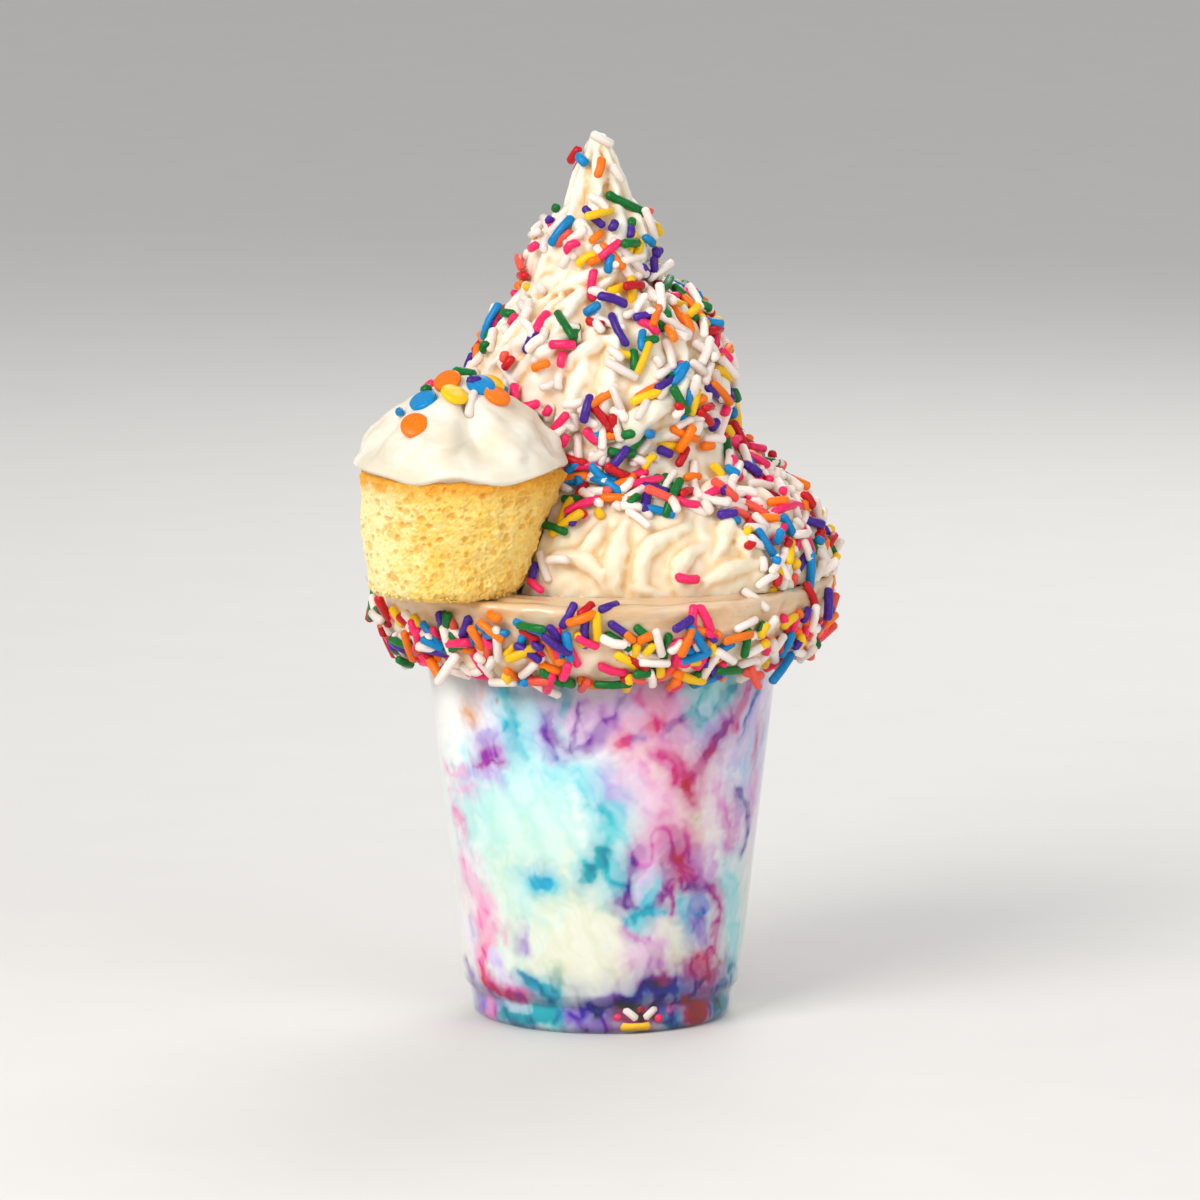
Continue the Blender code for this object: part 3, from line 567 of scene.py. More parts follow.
# Streaks and patches of colour on the side that faces the viewer, each painted over the
# ones before it. A row holds the colour, half the width of the streak, the width of its soft
# edge, its strength, and the line that it follows as places x,z on the wall, in millimetres.
STREAKS = """
F9F7F2 6.7 5.0 0.9 -34.5,87.9 -33.4,74.2
E2F3F2 3.3 5.0 0.7 -19,85.3 -19.5,71.5
D0EBE7 7.2 7.8 0.8 -31.8,56 -17.3,60.2 -11.7,53.7 -26.2,51.2
D9CBE8 2.5 3.3 0.7 -26.2,91 -19.5,89.3 -13.9,90.8
E7D5EA 7.8 8.3 0.8 -8.4,86.5 7.2,81.9 35,80.8 37.3,61.5
F8F5EF 3.1 2.2 0.9 -7.3,90.5 -0,90.6 -3.9,81.4 -8.1,77.3
F3ECDF 3.1 3.9 0.85 8.9,71 16.1,63.7 22.8,56.2 23.3,49.3
F3D8E6 2.8 3.9 0.75 7.2,66.4 14.4,58.1 16.1,52.8
B8EAE6 3.3 2.5 0.9 23.3,89 29.5,87.1 26.1,82.3
D4E6EE 2.2 3.3 0.7 39.5,71.8 35,65.7
F0A55F 0.2 0.9 0.4 -29.2,88.8 -29.6,85.9
EDA35C 0.6 1.4 0.85 -32.6,79.9
7A3B20 0.2 0.2 0.8 -25.9,84.4
7A3B20 0.3 0.3 0.7 -11.7,74.6
CDEDEE 1.1 2.8 0.8 -18.4,86.5 -16.7,83.2 -18.4,78.5
34BFCB 0.7 1.8 0.85 -23.7,86.9 -22.2,83.3 -21.7,79.9 -21.3,75.9 -22.4,73
16B2C2 0.8 1.0 0.9 -21.7,78.8 -21.1,76 -21.7,74.2
4CC4CE 0.4 1.2 0.7 -23.4,72.9 -23.1,69.7
45C2CC 0.6 1.2 0.7 -20.6,74.3 -18.8,70.7
C5B3DE 1.4 2.8 0.65 -29,74.4 -25.6,74.3 -26.2,69.6
B452A6 0.5 0.8 0.9 -32,66.7 -29.5,66.8 -27.3,68.1 -25.4,67.7
A95BB0 0.6 1.1 0.8 -28.7,69.3 -26.2,71.4
EFA9CC 0.3 1.0 0.6 -39.5,63.9 -36.8,63.7 -34.5,65.2
CBB6E0 0.6 1.4 0.6 -34.5,64.1 -29.5,64.5 -26.2,65.6
CFECEE 0.4 1.1 0.8 -34.3,69.4 -33.4,66.1
4FB4C8 0.6 0.8 0.85 -11.2,87 -9,87 -8.4,85.5 -9.9,81.8 -11.2,77.8 -10.9,75.5
8A72BE 0.7 1.0 0.85 -13.1,82.8 -13.4,78.8 -12.6,75.4 -11.4,71.7
F1D6E8 1.4 2.2 0.75 -7.3,80.2 -3.1,83.7
DDB6DC 1.2 2.2 0.7 -0.6,82 4.4,83.7 7.2,87.1
C080C0 0.6 1.2 0.65 -1.7,76.3 0.5,76.9 2.7,79.7
8C50A8 0.4 0.7 0.92 -12.6,77.7 -10.3,74.7 -7.3,73.9 -3.9,74.8 -1.4,76.9
A070B8 0.2 0.7 0.88 -1.4,76.9 1.1,80.9 3.3,84.3 5.5,88.3 8.9,91.6
9860B0 0.2 0.4 0.88 -4.5,84.3 -5,80.3 -6.7,77.4 -7.3,75
F0B8D4 1.8 2.8 0.7 12.8,89.2 15.5,83.3 11.7,81.8
F2C8DC 1.7 2.2 0.7 17.8,82 20,83
D9578F 0.4 0.8 0.88 4.1,74.5 6.1,75.9 8.9,76.7 11.7,77.8 12.8,79.4 16.1,78.7 18.9,79.6 21.1,80.9
E04A7A 0.7 1.0 0.85 4.4,74.8 6.6,76.2
DE4C78 0.7 0.9 0.85 11.9,78 14.4,79.9
9A5CAA 0.5 0.8 0.85 16.1,78.4 19.4,80.1 21.9,81.1
7A8FC8 0.4 0.7 0.75 9.7,76 8,75.6
EE8FB6 0.6 1.1 0.8 8.9,86.5 11.7,85.7 13.3,84
E0619A 0.5 0.8 0.88 16.1,86.1 17.5,88 19.4,89.9 20.3,91.6
1FAFB8 0.8 0.9 0.92 22.8,82.1 24.5,79.7 26.1,80 28.9,82.5 30.6,85.2 32.2,86.6 33.5,87
1FAFB8 0.5 0.6 0.9 23.9,78.6 25,77.9
4CC0C4 0.3 0.8 0.75 24.5,84.8 25.6,87 27.2,89.1
DCCBE6 1.6 2.2 0.85 26.7,77.1 31.1,78.7
A0589F 0.7 0.9 0.88 37.3,87.3 35.6,83 33.4,79.5 30.6,75.9 27.2,72.4 24.7,68.7 23.3,66
E8A0C8 1.9 3.3 0.65 13.9,73.6 18.3,68.2
D8608F 1.1 1.9 0.75 16.1,71.8 18.3,69.3 20,66.3 21.4,62.7
C8508C 0.9 1.2 0.85 27.8,71.7 23.9,67 22.2,64.4 21.5,61.8
CC4A70 0.7 0.8 0.8 21.1,63.3 21.9,61.4
D8629F 0.6 1.1 0.8 37.8,87.7 36.1,83.5 33.9,79.3 33.4,75.4
E070A8 0.4 1.0 0.75 38.9,73.8 38.4,69.9 37.3,67.4
5D7FC0 0.2 0.5 0.85 39.5,86.6 38.4,82.8 37.3,79.7 36.1,77.1 35,74.4 33.9,73
6E5BAA 0.4 0.7 0.88 32.8,59.8 34.7,58.2 35.9,54.9 36.7,50.5 36.4,46.4 35,42.9
E6A0CC 0.4 1.3 0.75 38.4,62.2 37.8,56.5 37.3,52
DE8CC4 0.6 1.7 0.75 30.6,55.1 31.1,51.5 31.7,46.7
EDBEDC 0.6 1.7 0.65 29.5,56.5 28.9,61.7
F09AC4 0.7 1.3 0.85 -36.2,52.4 -34.5,50.7 -34,49.1
F2C4DC 0.4 1.1 0.65 -38.2,57.5 -35.6,59.7 -31.8,61.8
8FDDE0 1.9 2.5 0.85 -5,65.4 -2.3,62 0.5,58.5 1.6,55.6 1.1,52.2
2FC0CC 0.7 1.1 0.85 -0.6,58.5 1.1,56.2 -0,53.4
CDB9E0 0.9 1.7 0.7 1.6,65.4 3.9,61.9
A8E2E4 0.8 2.2 0.7 -11.7,65.7 -13.4,67.3
E48CBC 0.7 1.7 0.75 12.8,47.9 15,50
D85C9C 1.6 2.2 0.85 15.5,49.4 17.8,51 19.2,47.4 17.2,45.3
C9C0A0 0.3 0.8 0.6 23.8,55.4
F2C2DA 1.9 3.1 0.8 -32.5,38.5 -29.9,33.1 -28.8,27.9
DDEBE0 5.2 6.3 0.8 -24.6,38.9 -19.4,31.4 -23.1,23.4
ECEADC 6.6 5.8 0.92 -11,34.2 -4.2,30.6 -6.3,22.4 -0.5,15 -9.9,19.1
EAE9DB 3.7 3.1 0.85 15.2,25.8 20.5,21.5 16.3,16.5
C4E8E8 2.9 3.1 0.9 32.3,36.9 33.4,24.4 33.4,16.6
F4EEF2 1.5 2.1 0.8 -35.1,23.6 -31.5,18.4
F29AC2 1.0 1.8 0.75 -30.4,31.4 -29.9,29.3 -30.4,27
F4A8CC 0.4 1.0 0.7 -34.6,41.7 -34.1,39.2
B7A2CC 0.7 0.9 0.9 -19.1,25.5 -19.4,21.6
CDBFDC 0.6 0.9 0.75 -33,25.7 -32.3,22.6
F0B8D0 0.3 1.0 0.55 -25.2,26.3 -24.6,22.6
F0B8D0 0.4 1.3 0.55 -26.7,26.1 -27.8,22.1
B8E4E4 1.5 2.1 0.85 -19.4,37.9 -15.7,38.2 -13.1,39.5
4FB0CC 1.0 1.6 0.9 -16.2,38.4 -14.4,38.8
F4ECDC 1.0 0.3 0.6 -7.3,37.8
7FD2D8 1.4 1.6 0.8 -2.6,44.2 1.6,46.3
5FC4CC 2.2 1.5 0.9 1.6,43.6 4.2,40.9 3.7,37.9 5.8,41.4
0FA3B0 1.0 0.9 0.92 -3.6,40.4 -2.9,42.5 -1,44.7 0,46.9
C774B8 1.2 1.4 0.8 9.5,46.7 10.3,43.4
7C4A9A 1.0 1.0 0.9 8.4,44.6 7.6,40.8 6.8,37 6.2,33.8
7A4C98 0.9 0.9 0.92 4,35 6.3,33.3 8.7,32.5
DF8CC4 0.9 1.4 0.85 14.2,48.1 12.1,44.9
9C559F 0.8 0.9 0.88 15.5,43.1 15.7,38.2 14.3,34.5 12.1,33
EFE0EC 0.7 0.7 0.92 12.4,42.8 10.3,38.5 9.5,34.5
7CCDDA 0.7 0.7 0.92 14.2,39.9 12.7,36.2 11.3,33.6
B04A92 1.7 1.4 0.88 17.3,47.3 19.4,43.9 18.9,40.7 21,37.7 22.6,35.4
CC3F78 0.6 1.2 0.85 18.9,45.5 20,41.6 21.5,38.2
C48CC8 0.7 1.3 0.75 23.6,45 24.2,39.5 27.3,35.3
E3BFE0 0.8 1.6 0.75 27.8,45.5 27.3,41.3
9A4C9C 0.7 0.8 0.88 21.5,37.1 24.7,34.6 27.3,35.3 28.4,32.3
9ADCE0 1.2 1.2 0.92 20,33 20.5,30.2 22.3,25.6
A88CCB 1.5 1.3 0.88 23.4,30.4 24.2,26.5 25.5,22.8
6E84CC 0.8 0.9 0.88 24.7,33.5 25.8,30
4F9CC8 0.3 0.5 0.75 22.6,32.7 22.1,30.6 23.6,28.7
C0509C 0.8 0.8 0.9 27.3,34.7 29.4,31 28.9,26.8 28.3,23.6 28.4,20.3 26.9,19
B858A0 0.2 0.5 0.88 17.6,37.5 17.9,33.2 17.6,29.4
1FA9BC 0.7 0.8 0.92 6.3,28.4 7.9,30 10,30.4 12.6,30.8
2AAEC2 1.0 1.0 0.92 8.2,28.2 8.9,27.7
3FB8C8 0.5 0.8 0.85 12.6,31.4 15.2,30.4
A6E0E0 0.8 1.0 0.75 10.3,28.4 8.9,26.4
D28CC0 0.2 0.5 0.85 5.3,27.3 6.3,25.7 8.4,24.8 10,24.2 11.3,24.7
EBD0E2 1.0 2.1 0.65 7.9,20.2 12.1,22.2 14.2,23.2
CFA4D0 0.6 1.2 0.8 12.4,18.4 14.7,18.8
A07CBC 0.5 1.0 0.85 -34.6,14.7 -33.6,12.6 -32.5,10.8
EE6FA4 0.9 0.9 0.9 -27.8,20.4 -29.6,18.4 -30.2,15.5 -29.4,13 -27.8,10.6 -24.6,10.1 -21,10.6 -17.8,8.8
E14C70 0.6 0.7 0.88 -29.9,12.3 -27.3,10.1 -23.6,9.3 -19.4,8.3
E4D8F0 0.7 1.2 0.85 -27.3,17.3 -25.2,15.4
F4EEF0 0.9 1.3 0.85 -25.2,13.8 -20.4,12.6
2C9CB4 0.4 0.7 0.88 -20.4,15 -18.3,13.6 -16.8,11 -14.1,10.2
22AEB8 1.0 0.8 0.92 -17.3,11.3 -14.1,11 -12,8.4
CCD6C4 2.0 0.5 0.8 -11.8,16 -11.6,14.6
8FC0B8 1.5 0.6 0.8 -11.3,11.2 -11,10.4
A58CC4 0.5 0.8 0.85 -2.6,8.5 1.6,9.2 5.8,9.5
2A9CB0 1.0 0.7 0.92 8.4,8.9 11,11.2 12.6,13
7A4A96 1.4 0.7 0.92 11.6,13.3 14.2,11.8 15.2,8.7
C83E78 1.2 0.7 0.92 15.2,13.9 17.3,13.7
6E5CA4 0.8 0.7 0.88 18.9,13.5 22.1,13.7
3A8EA8 1.3 0.7 0.92 18.9,10.8 21.5,9.5
E8E4F0 0.4 0.3 0.9 18.9,11.9
C24E90 0.9 0.9 0.88 21.5,16 23.6,16.8
D8405F 1.7 0.8 0.92 24.2,17.2 26.3,15 27.7,12.2 26.3,9.4 23.9,11.3
DC4F86 0.7 0.6 0.9 27.1,18.4 25.8,17.5
F4E6E8 0.6 0.6 0.85 28.1,17
E8C060 0.4 0.4 0.85 29.7,15.1
2A9AA8 0.4 0.5 0.88 33.7,14.5 32.6,13.6 31.5,12.3
2E94A4 0.9 0.7 0.85 32.3,10.6
7C86BE 3.2 2.0 0.6 -32,4 -10,4 10,4.5 32,4
B0568E 3.2 3.0 0.5 13,13 20,14 28,13
5A86B8 2.2 2.5 0.5 10,10 22,11 30,8
A58CC8 1.5 1.0 0.92 -32,6.7 -29.9,5 -31.5,2.8
E89CC4 0.6 0.8 0.85 -29.1,6.6 -27.8,3.7 -29.4,1.7
F4EEF0 0.8 0.6 0.9 -24.6,6.6 -20.4,6.2 -18.3,6.8
18A7B0 1.6 0.7 0.95 -25.2,3.7 -20.4,3.8 -15.2,3.8 -11,3.6
2FB4BC 0.8 0.7 0.92 -17.3,5.9 -11,6.4
D8F0EC 0.5 0.4 0.85 -15.7,1.7 -11,1.6
B8DCE4 0.9 1.0 0.75 -9.4,7.8 -8.9,5.9
9A86C0 2.0 1.0 0.92 -6.8,4.9 -3.6,3.4 1.1,2.4
6C6AA8 0.8 0.7 0.88 -2.6,6.6 4.2,6.6
303040 0.4 0.3 0.7 -1.3,4.8
604030 0.4 0.3 0.7 -4.2,1.9
8C3C60 1.8 0.9 0.9 4.2,5.4 8.9,4.3 13.7,4.9
6C5CA0 1.0 0.7 0.92 15.2,6.1 18.4,5.2
2E96AC 1.1 0.7 0.92 16.3,2.7 20.5,1.7 23.1,2
D890B0 0.5 0.4 0.9 18.1,5.8
C4507C 0.7 0.6 0.88 21.5,7.4 26.8,6
C04A74 1.5 0.9 0.92 24.2,5 26.3,2.5 22.6,3.1
4A9A9C 1.3 0.8 0.92 29.4,5.3 31.6,4.6 30.5,2.3
"""


def streak_of(row):
    """A row of the table: the colour, three numbers, and the line as distances round the
    wall from the front with heights."""
    code, half, soft, strength, places = row.split(maxsplit=4)
    x, z = numbers(places).T
    radius = np.maximum(wall_radius(z), CUP_FOOT_RADIUS)
    gone_round = MARBLE_RADIUS * np.arcsin(np.clip(x / radius, -0.98, 0.98))
    return tint(code), float(half), float(soft), float(strength), np.stack([gone_round, z], -1)


def distance_to(line, places):
    """How far each place is from a line of straight stretches, in millimetres, and on which
    side of it the place lies, from -1 to 1."""
    nearest = np.full(len(places), np.inf)
    side = np.zeros(len(places))
    ends = zip(line, line[1:]) if len(line) > 1 else [(line[0], line[0])]
    for start, end in ends:
        way = end - start
        away = places - start
        share = np.clip(away @ way / max(way @ way, 1e-9), 0.0, 1.0)
        gone = np.linalg.norm(away - share[:, None] * way, axis=1)
        across = (way[0] * away[:, 1] - way[1] * away[:, 0]) / max(np.linalg.norm(way), 1e-6)
        closer = gone < nearest
        nearest = np.where(closer, gone, nearest)
        side = np.where(closer, across / np.maximum(gone, 1e-6), side)
    return nearest, side


def wall_places(points):
    """Each point's distance round the wall from the front, and its height, moved by smooth
    noise so that the streaks curl. The far side is the front turned half round and mirrored,
    and other noise moves it much further."""
    angle = np.arctan2(points[:, 1], points[:, 0]) - FRONT
    angle = (angle + np.pi) % (2 * np.pi) - np.pi
    far = np.abs(angle) > 0.5 * np.pi
    folded = MARBLE_RADIUS * np.where(far, np.sign(angle) * np.pi - angle, angle)
    curl = sum(reach * drift(points, size, seed, 2) for size, reach, seed in CURLS)
    deep = eased(np.abs(angle), 0.36 * np.pi, 0.6 * np.pi)[:, None]
    curl += deep * 9.0 * drift(points, 46.0, 7, 2) + deep * 2.4 * drift(points, 16.0, 9, 2)
    return np.stack([folded, points[:, 2]], axis=-1) + curl


def streaked(colours, points):
    """Colours with the streaks painted over them.

    A streak is strongest in its core and has a wider, fainter halo. It fades faster on one
    side than on the other, and ragged noise frays its edge, one way for every second streak.
    """
    places = wall_places(points)
    ragged = [
        0.6 * ripple(points, 5.5, 50 + k, 20)
        + 0.34 * ripple(points, 2.6, 60 + k, 24)
        + 0.14 * ripple(points, 1.4, 70 + k, 24)
        for k in range(4)
    ]
    for index, row in enumerate(STREAKS.strip().splitlines()):
        tone, half, soft, strength, line = streak_of(row)
        half = half + 0.25 * eased(np.linalg.norm(np.subtract(tone, MILK)), 0.35, 0.8)
        gone, side = distance_to(line, places)
        near = gone < 2.6 * half + 5.0 * soft
        frayed = (1 if index % 2 else -1) * ragged[index % 4][near]
        bleed = 1.0 + 0.45 * side[near] * (-1) ** (index // 2)
        gone = gone[near] - (0.32 * half + 0.6 * soft) * frayed
        core = eased(gone, 1.45 * half + 1.1 * soft * bleed, 0.5 * half)
        halo = 0.42 * eased(gone, 1.9 * half + 2.8 * soft * bleed, 1.0 * half)
        share = (strength * np.maximum(core, halo))[:, None]
        colours[near] = colours[near] * (1 - share) + np.array(tone) * share
    return colours


def marbled(points):
    """The colours of the marbling at each point: milk that is creamier low down, with streaks.

    The dye lies unevenly: thin threads along the flow hold more of it and gaps less. A band
    where the wall steps in at the shoulder is darkened as painted shade under that ledge.
    """
    height = points[:, 2]
    milk = np.array(MILK)
    low = eased(height + 4 * ripple(points, 18.0, 9), 46.0, 30.0)[:, None] * 0.6
    colours = streaked(milk * (1 - low) + np.array(CREAM) * low, points)
    flow = np.stack([points[:, 0] + 0.5 * height, points[:, 1], 0.45 * height], axis=-1)
    flow = flow + 1.2 * drift(points, 9.0, 80, 3)
    fine = 0.4 * (1.0 - np.abs(ripple(flow, 4.0, 85, 24)))
    threads = 1.0 - np.abs(ripple(flow, 9.0, 84, 20)) + fine
    foot = 0.22 * eased(-height, -22.0, -10.0)
    more = 1.28 + foot + 0.55 * np.clip(threads - 1.0, -0.5, 0.5)
    dyed = np.linalg.norm(colours - milk, axis=1)
    more = more * (0.92 + 0.42 * eased(dyed, 0.75, 0.15))
    colours = milk + (colours - milk) * more[:, None]
    # Painted shade: a darker band where the wall steps in at the shoulder, where shadow falls
    ledge_shade = eased(height, 5.6, 7.4) * eased(height, 10.4, 8.0)
    return np.clip(colours * (1 - 0.3 * ledge_shade[:, None]), 0.0, 1.0)


def make_filling():
    """The frozen yogurt: the cup's inner surface, moved just into its wall, and a flat top."""
    top = CUP_HEIGHT - GAP
    neck = CUP_RIM_RADIUS - 2 * CUP_RIM_BEAD - GAP
    inside = inside_profile(-INTO_WALL)
    outline = along(inside[:3], 4.0)[:-1] + along(inside[2:], FILLING_STEP)
    outline += [(neck, CUP_WALL_TOP_HEIGHT + 1.0), (neck, top), (0.5 * neck, top), (AXIS, top)]
    shape = with_poles(turned(outline, FILLING_COLUMNS))
    material, stands_for = marbled_yogurt(), ["frozen_yogurt"]
    piece_of("marbled_filling", shape, material, stands_for, marbled(shape[0]))


def marbled_yogurt():
    """Milky yogurt with streaks of colour and a fine mottle."""
    paint = Paint(
        "marbled_yogurt", (0.06, 1.5, (1.0, 0.8, 0.7)), Roughness=0.42, Specular_IOR_Level=0.3
    )
    mottle = paint.noise(420.0, 5.0, 0.62)
    cloud = paint.noise(120.0, 4.0, 0.6, 0.6)
    milk = paint.blend(cloud.step(0.5, 0.85) * 0.12, paint.tone(), tint("F7F2EC"))
    paint.set("Base Color", paint.blend(mottle.step(0.5, 0.9) * 0.18, milk, milk, "MULTIPLY"))
    paint.bump(mottle, 0.12, 0.3)
    return paint.material


# The icing collar


def collar_grid():
    """The collar's section carried round the rim, moved out by long waves, by finger marks
    and, towards its lower edge, by drips."""
    edge = (COLLAR_TOP_RADIUS - COLLAR_EDGE, CUP_HEIGHT - COLLAR_EDGE)
    rim = CUP_RIM_RADIUS + GAP
    bottom = COLLAR_BOTTOM
    outline = [
        (rim - 3.4, CUP_HEIGHT + 0.06),
        (rim - 0.5, CUP_HEIGHT + 0.06),
        (rim, CUP_HEIGHT - 0.4),
        (rim, CUP_HEIGHT - CUP_RIM_BEAD - 1.2),
        (wall_radius(CUP_HEIGHT - 5.0) + 0.1, CUP_HEIGHT - 5.0),
        (wall_radius(bottom) + 0.1, bottom - 0.2),
        (COLLAR_TOP_RADIUS - 9.6, bottom),
        (COLLAR_TOP_RADIUS - 6.6, bottom + 2.0),
        (COLLAR_TOP_RADIUS - 3.8, CUP_HEIGHT - 14.5),
        (COLLAR_TOP_RADIUS - 1.4, CUP_HEIGHT - 8.0),
        *arc(edge, COLLAR_EDGE, 0, 90, 6),
        (COLLAR_TOP_RADIUS - 2.6, CUP_HEIGHT + 0.25),
        (COLLAR_TOP_RADIUS - 3.6, CUP_HEIGHT - 0.45),
        (COLLAR_TOP_RADIUS - 5.0, CUP_HEIGHT - 0.3),
        (COLLAR_TOP_RADIUS - 6.0, CUP_HEIGHT + 0.5),
        (rim + 1.0, CUP_HEIGHT + 0.65),
        (rim - 1.6, CUP_HEIGHT + 0.75),
        (rim - 3.2, CUP_HEIGHT + 0.5),
    ]
    grid = turned(along(outline + outline[:1], COLLAR_STEP)[:-1], COLLAR_COLUMNS)
    radius = np.hypot(grid[..., 0], grid[..., 1])
    angle = np.arctan2(grid[..., 1], grid[..., 0])
    free = eased(radius, rim + 0.05, rim + 1.6) * (radius > rim + 0.05)
    low = eased(grid[..., 2], 101.0, 92.0) * (radius > rim + 0.05)
    moved = COLLAR_WAVE * (np.sin(3 * angle + 0.6) + 0.6 * np.sin(7 * angle + 2.1))
    moved = moved + 0.35 * ripple(grid, 9.0, 21) + 0.15 * ripple(grid, 4.0, 22)
    moved += low * 0.9 * ripple(grid, 7.0, 23)
    grid[..., :2] *= (1 + free * moved / radius)[..., None]
    grid[..., 2] += free * 0.25 * ripple(grid, 14.0, 24)
    return grid


def collar_tones(points):
    """The icing's colours: tan and cream in streaks drawn round the rim, deeper tan at the top,
    partly its own tone and partly painted shade from the swirl above, tinted by dye from the
    sprinkles, with a teal smear at the right of the front."""
    height = points[:, 2]
    drawn = points * [0.35, 0.35, 2.2]
    streak = eased(ripple(drawn, 9.0, 111, 20) + 0.5 * ripple(drawn, 4.0, 112, 20), -0.7, 0.8)
    blot = 0.4 * eased(ripple(points, 11.0, 113), 0.1, 0.9)
    low = eased(-height, -108.0, -100.0)
    # Deeper tan towards the top: partly the icing's own tone, partly painted shade from the swirl
    high = 0.62 * eased(height + 1.5 * ripple(points, 12.0, 119), 101.0, 107.0)
    dye = eased(ripple(points, 12.0, 114) + 0.3 * ripple(points, 4.0, 115), 0.25, 1.0)
    pink = 0.3 * dye * (0.35 + 0.65 * low)
    teal = 0.16 * eased(ripple(points, 10.0, 116) + 0.3 * ripple(points, 4.0, 117), 0.4, 1.0)
    away = (points - [46.0, -26.0, 111.4]) / [2.6, 6.0, 1.6]
    gone = np.linalg.norm(away, axis=1) + 0.35 * ripple(points, 2.5, 118)
    smear = 0.8 * eased(gone, 1.15, 0.45)
    layers = (
        (streak, "F5E6CB"),
        (blot, "E3BC90"),
        (high, "D0A067"),
        (pink, "EFA9A0"),
        (teal, "BFD8CC"),
        (smear, "2FB9AE"),
    )
    return layered("E6C8A0", layers)


def make_collar():
    """The icing band: its grid, joined both ways, with its own colours."""
    grid = collar_grid()
    points = grid.reshape(-1, 3)
    shape = points, [ring_faces(*grid.shape[:2], joined=True)]
    tones = collar_tones(points)
    return piece_of("icing_band", shape, icing(), ["icing_collar"], tones)


def icing():
    """Glossy tan icing, creamier where it is thick, with soft streaks drawn round the rim."""
    paint = Paint(
        "icing",
        (0.25, 2.5, (1.0, 0.6, 0.35)),
        Specular_IOR_Level=0.5,
        Coat_Weight=0.6,
        Coat_Roughness=0.14,
    )
    drawn = paint.node("ShaderNodeMapping", {}, {"Vector": paint.place, "Scale": (1, 1, 6)})
    streak = paint.noise(55.0, 4.0, 0.55, 0.4, drawn)
    blot = paint.noise(95.0)
    pale = streak.step(0.4, 0.7) * 0.3
    paint.set("Base Color", paint.blend(pale, paint.tone(), tint("F8EBD4")))
    paint.set("Roughness", 0.2 + blot * 0.22)
    paint.bump(streak, 0.35, 0.5)
    return paint.material


# The swirl

# Folds and drawn-out ridges that stand on the rope, as seen from the front: the radius at
# the start, middle and end, and the line that they follow, as places x,up where the line of
# sight crosses the cup's middle plane, in millimetres.
RIDGES = """
1.3 1.7 1.2 6.2,124.7 4.5,120.4 3,114.1 2.7,107.8 4,104.8; 1.0 1.5 1.2 21.9,126.2 21.4,122.7
17.4,120.7 13.2,118.9 10.2,115.1 9.2,110.3 10.7,106.5 14.5,105; 0.9 1.5 1.0 26.9,117.1 23.9,117.4
20.9,115.4 19.2,111.6 18.7,107.5 20.4,105.3; 0.9 1.4 0.8 32.7,122.2 34.9,119.6 36.4,116.1
35.6,114.1; 0.8 1.3 0.9 0.5,124.2 -1,121.2 -3,117.9 -6.2,116.1; 0.9 1.4 1.0 -14.7,113.6
-11.5,115.1 -6.7,115.1 -3,113.3 0.2,109.6 1.2,105.5; 0.8 1.2 0.9 9.5,105 9,107 10.2,109; 1.0 1.8
1.2 39.4,124.2 45.6,127.2 49.4,128 52.4,126.2; 0.9 1.4 0.9 35.6,117.9 41.9,121.7 46.9,122.2
50.9,120.1; 0.8 1.3 0.8 24.4,106.5 28.2,110.3 34.4,112.8 40.6,113.6; 0.9 1.5 0.9 28.2,129.2
31.4,124.2 29.9,117.9 28.4,114.1; 1.2 2.0 1.3 -3,141.3 2,141.3 6.5,143.6 8.5,148.2 10.7,150.9
16.5,154 20.4,158.5 22.9,162.5; 1.0 1.7 1.2 12,144.4 16.5,145.9 21.9,146.4 23.7,149.4 23.7,153.2
21.9,156.5; 0.9 1.5 1.0 16.5,155 14.5,152.4 11.5,150.4 7,149.4 2.5,148.4; 1.0 1.6 1.0 33.2,136.8
28.2,132.3 24.4,129.2 19.4,127.2; 0.8 1.5 0.9 -28.9,161.5 -24.2,166.1 -18,170.1 -11.5,174.1
-5.5,178.2; 0.8 1.4 0.9 -23.4,158.5 -18,164 -12.2,168.1 -5.5,171.6; 0.7 1.2 0.8 -14.2,172.1
-10.5,176.7 -5,180.7 2.5,184.7; 0.8 1.4 0.9 -25.4,175.1 -20.4,179.7 -14.2,183.2 -9,185.7; 0.7 1.1
0.7 -15.5,179.7 -10.5,182.2 -3,185.7 4.5,187.8; 0.8 1.2 0.8 -10.5,161.5 -6.7,165.6 -0.5,169.1
5,170.1; 0.5 1.0 0.7 -1.5,218.5 -1.5,213.8 -0.5,208.7 -1,204.2; 0.5 0.9 0.7 -4.7,213.8 -5.7,208.7
-6.7,203.7 -8.5,199.4; 0.5 0.9 0.7 1,217.5 2,212.5 3.5,207.4 4,203.4; 0.7 1.2 0.8 -3.2,204.9
-1.5,201.6 -1.2,198.4; 0.7 1.2 0.8 -9,196.8 -5.5,198.9 -3.5,195.8 -3,191.8
"""


def axis_at(height):
    """Where the swirl's axis is, at each height: it drifts back to the middle as it climbs."""
    x = np.interp(height, (111, 125, 150, 185, 205, 222), (8.6, 6.6, 1.0, -1.4, -0.8, -1.0))
    y = np.interp(height, (111, 125, 150, 185, 222), (5.0, 3.5, 2.0, 0.5, 0.0))
    return x, y


def climb(turn):
    """How many tiers the rope has climbed after some turns: it stays nearly level across the
    front half of each turn and climbs at the back, as a cubic ramp."""
    whole = np.floor(turn + 0.5)
    part = turn - whole
    return 0.15 * turn + 0.85 * (whole + 0.5 * np.sign(part) * np.abs(2 * part) ** 3)


